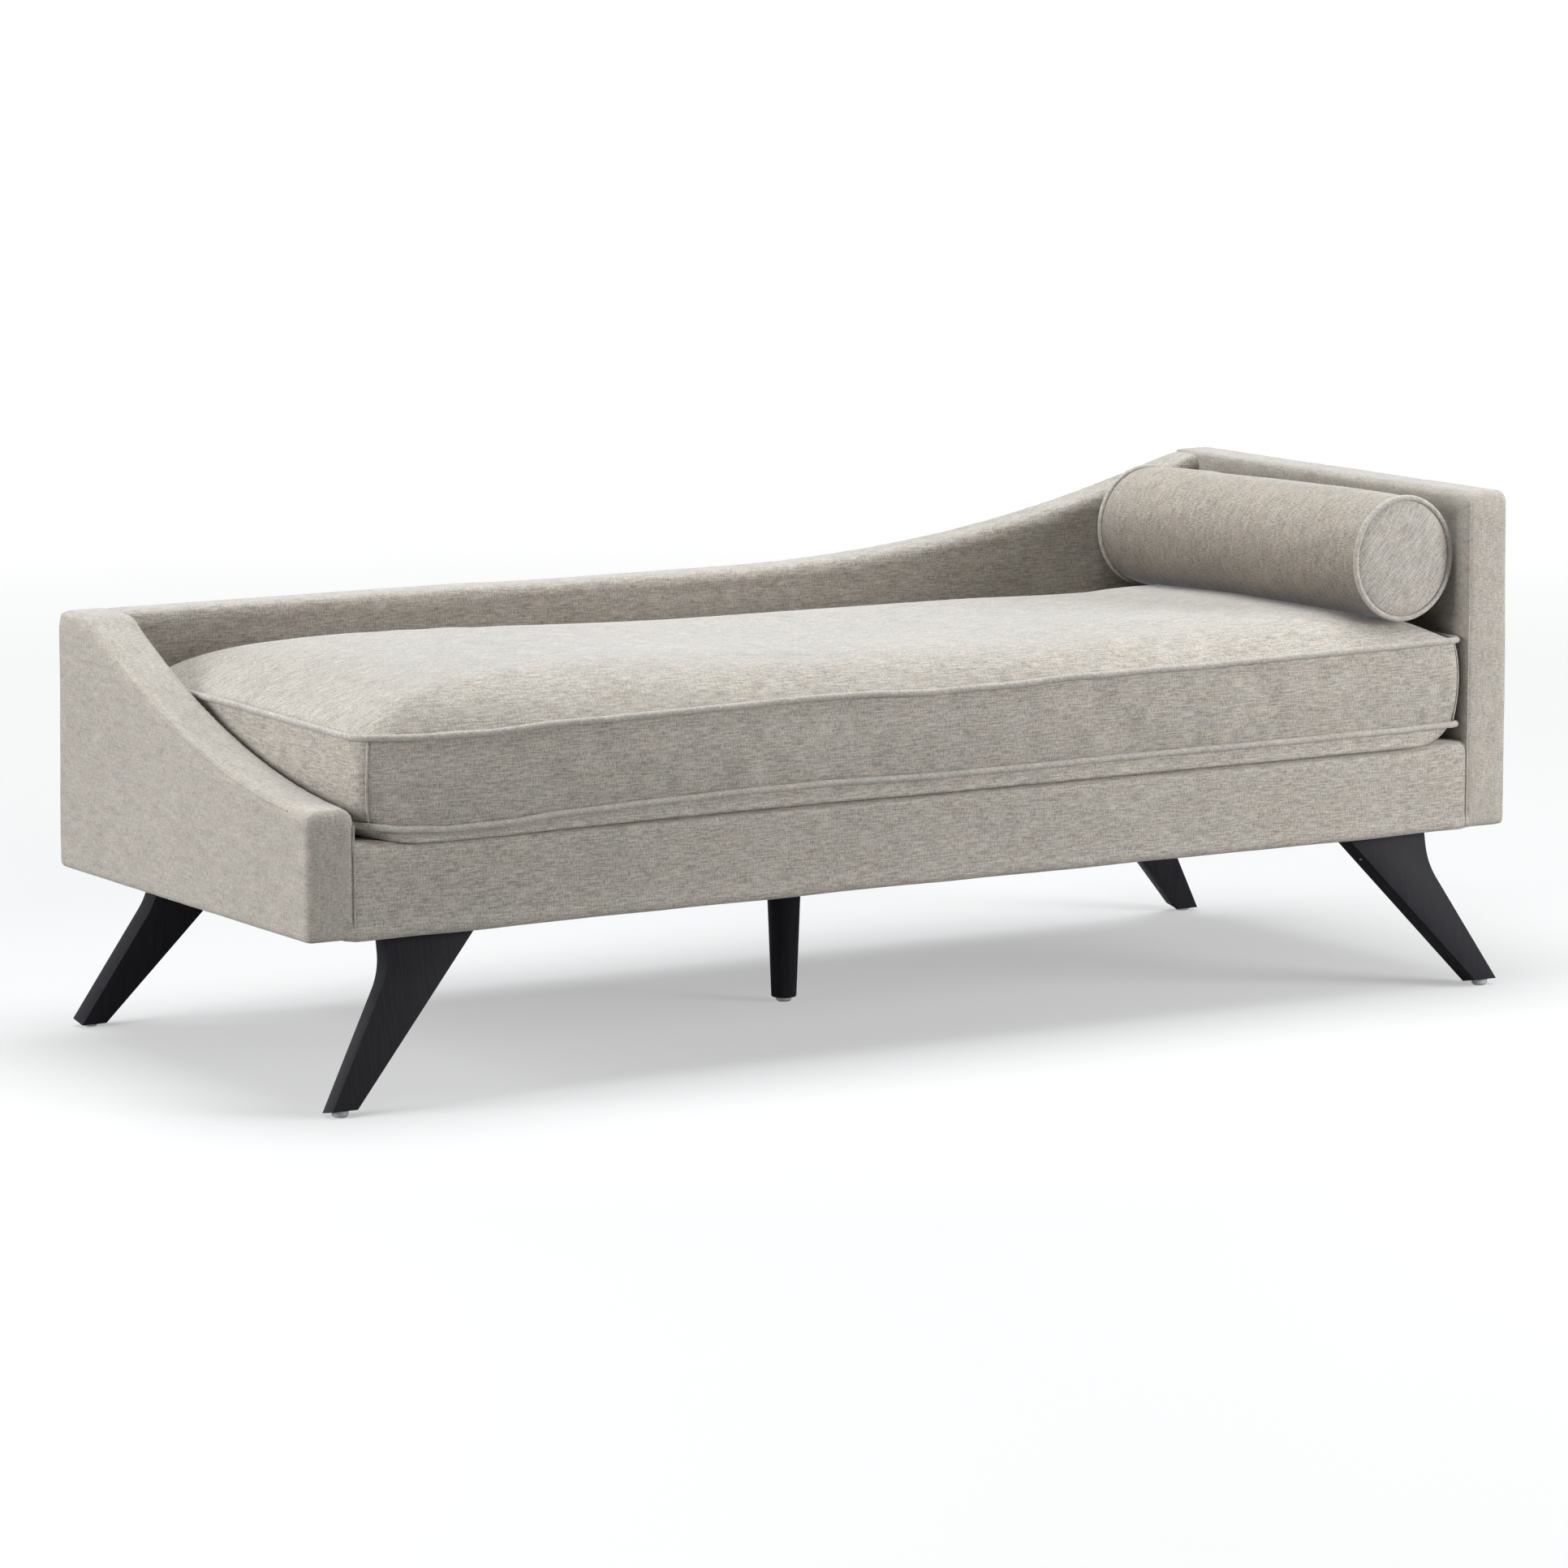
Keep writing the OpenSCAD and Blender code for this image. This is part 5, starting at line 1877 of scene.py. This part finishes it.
@dataclass
class Studio:
    """Pale floor, soft light and the camera at the photograph's angle."""

    camera_at: Vector = field(default_factory=lambda: Vector((-5.0362, -8.2224, 1.7835)))
    aim: Vector = field(default_factory=lambda: Vector((-0.0210, 0, 0.3283)))
    lens: float = 153.55
    sensor: float = 36
    ambient: float = 0.08
    floor_size: float = 160
    floor_glow: float = 0.42
    far_glow: float = 0.55
    far_from: float = 1.5
    far_to: float = 7
    lamps: tuple[Lamp, ...] = SOFTBOXES

    def backdrop(self) -> None:
        """Lights the world softly, and shows it white to the eye and in reflections."""
        world = bpy.data.worlds.new("studio")
        bpy.context.scene.world = world
        sheet = NodeSheet(world)
        rays = sheet.add("ShaderNodeLightPath").outputs
        seen = sheet.maths("MAXIMUM", rays["Is Camera Ray"], rays["Is Glossy Ray"])
        mix = sheet.add("ShaderNodeMixShader")
        sheet.join(sheet.maths("MAXIMUM", seen, rays["Is Transmission Ray"]), mix.inputs["Fac"])
        for strength, socket in zip((self.ambient, 1), mix.inputs[1:]):
            light = sheet.add("ShaderNodeBackground")
            light.inputs["Color"].default_value = (1, 1, 1, 1)
            light.inputs["Strength"].default_value = strength
            sheet.join(light.outputs[0], socket)
        sheet.join(mix.outputs[0], sheet.add("ShaderNodeOutputWorld").inputs["Surface"])

    def floor(self) -> None:
        """Lays a pale floor that keeps the object's shadow and fades to white far away."""
        deselect_all()
        bpy.ops.mesh.primitive_plane_add(size=self.floor_size, location=(0, 0, -0.2 * MM))
        floor = bpy.context.object
        floor.name = "studio_floor"
        settle(floor)
        sheet = ShaderSheet("pale_floor")
        sheet.set(Base_Color=(0.5, 0.5, 0.5, 1), Roughness=1.0, Specular_IOR_Level=0.0)
        sheet.set(Emission_Color=(1, 1, 1, 1))
        where = sheet.add("ShaderNodeTexCoord")
        distance = sheet.add("ShaderNodeVectorMath", operation="LENGTH")
        sheet.join(where.outputs["Object"], distance.inputs[0])
        far = sheet.between(distance.outputs["Value"], self.far_from, self.far_to, self.far_glow)
        path = sheet.add("ShaderNodeLightPath")
        shown = sheet.maths("ADD", far, self.floor_glow)
        glow = sheet.maths("MULTIPLY", path.outputs["Is Camera Ray"], shown)
        sheet.join(glow, sheet.surface.inputs["Emission Strength"])
        floor.data.materials.append(sheet.material)

    def hang(self, lamp: Lamp) -> None:
        """Hangs a soft lamp.

        Args:
            lamp: what is hung, and where.
        """
        light = bpy.data.lights.new(lamp.name, "AREA")
        light.size = lamp.size
        light.energy = lamp.power
        light.color = lamp.colour
        hung = placed(lamp.name, light)
        look(hung, Vector(lamp.place), Vector(lamp.aim))
        hung.visible_camera = False

    def camera(self) -> None:
        """Sets up the camera where the photograph was taken from."""
        data = bpy.data.cameras.new("photograph")
        data.lens = self.lens
        data.sensor_width = self.sensor
        data.clip_end = 200
        camera = placed("photograph", data)
        look(camera, self.camera_at, self.aim)
        bpy.context.scene.camera = camera

    def build(self) -> None:
        """Sets up the whole studio."""
        bpy.context.scene.view_settings.view_transform = "Standard"
        self.camera()
        self.backdrop()
        self.floor()
        for lamp in self.lamps:
            self.hang(lamp)


def corners(box: Sequence[Iterable[float]]) -> list[list[float]]:
    """Turns a box's two corners into plain lists."""
    return [[float(value) for value in corner] for corner in box]


def main() -> None:
    """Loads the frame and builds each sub-assembly in order."""
    logging.basicConfig(level=logging.INFO, format="%(name)s: %(message)s")
    for thing in list(bpy.data.objects):
        bpy.data.objects.remove(thing)
    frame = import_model()
    wardrobe = Wardrobe()
    Studio().build()
    for finish, nodes in PACKED_FINISHES:
        for node in nodes:
            wardrobe.dress(frame["nodes"][node], finish)
    body = Body.read()
    pieces = [UpholsteredEnd(body, End.FOOT).build(wardrobe)]
    pieces.append(UpholsteredEnd(body, End.HEAD).build(wardrobe))
    pieces.append(UpholsteredBack(body).build(wardrobe))
    pieces += UpholsteredRail.read(body).build(wardrobe)
    pieces += FrameSeams(body).build(wardrobe)
    pieces += Legs(frame["nodes"]).build(wardrobe)
    pieces += SeatCushion.read().build(wardrobe)
    pieces += Bolster.read().build(wardrobe)
    for piece in pieces:
        REPORT.info("%s: %d faces", piece.name, len(piece.data.polygons))


if __name__ == "__main__":
    main()
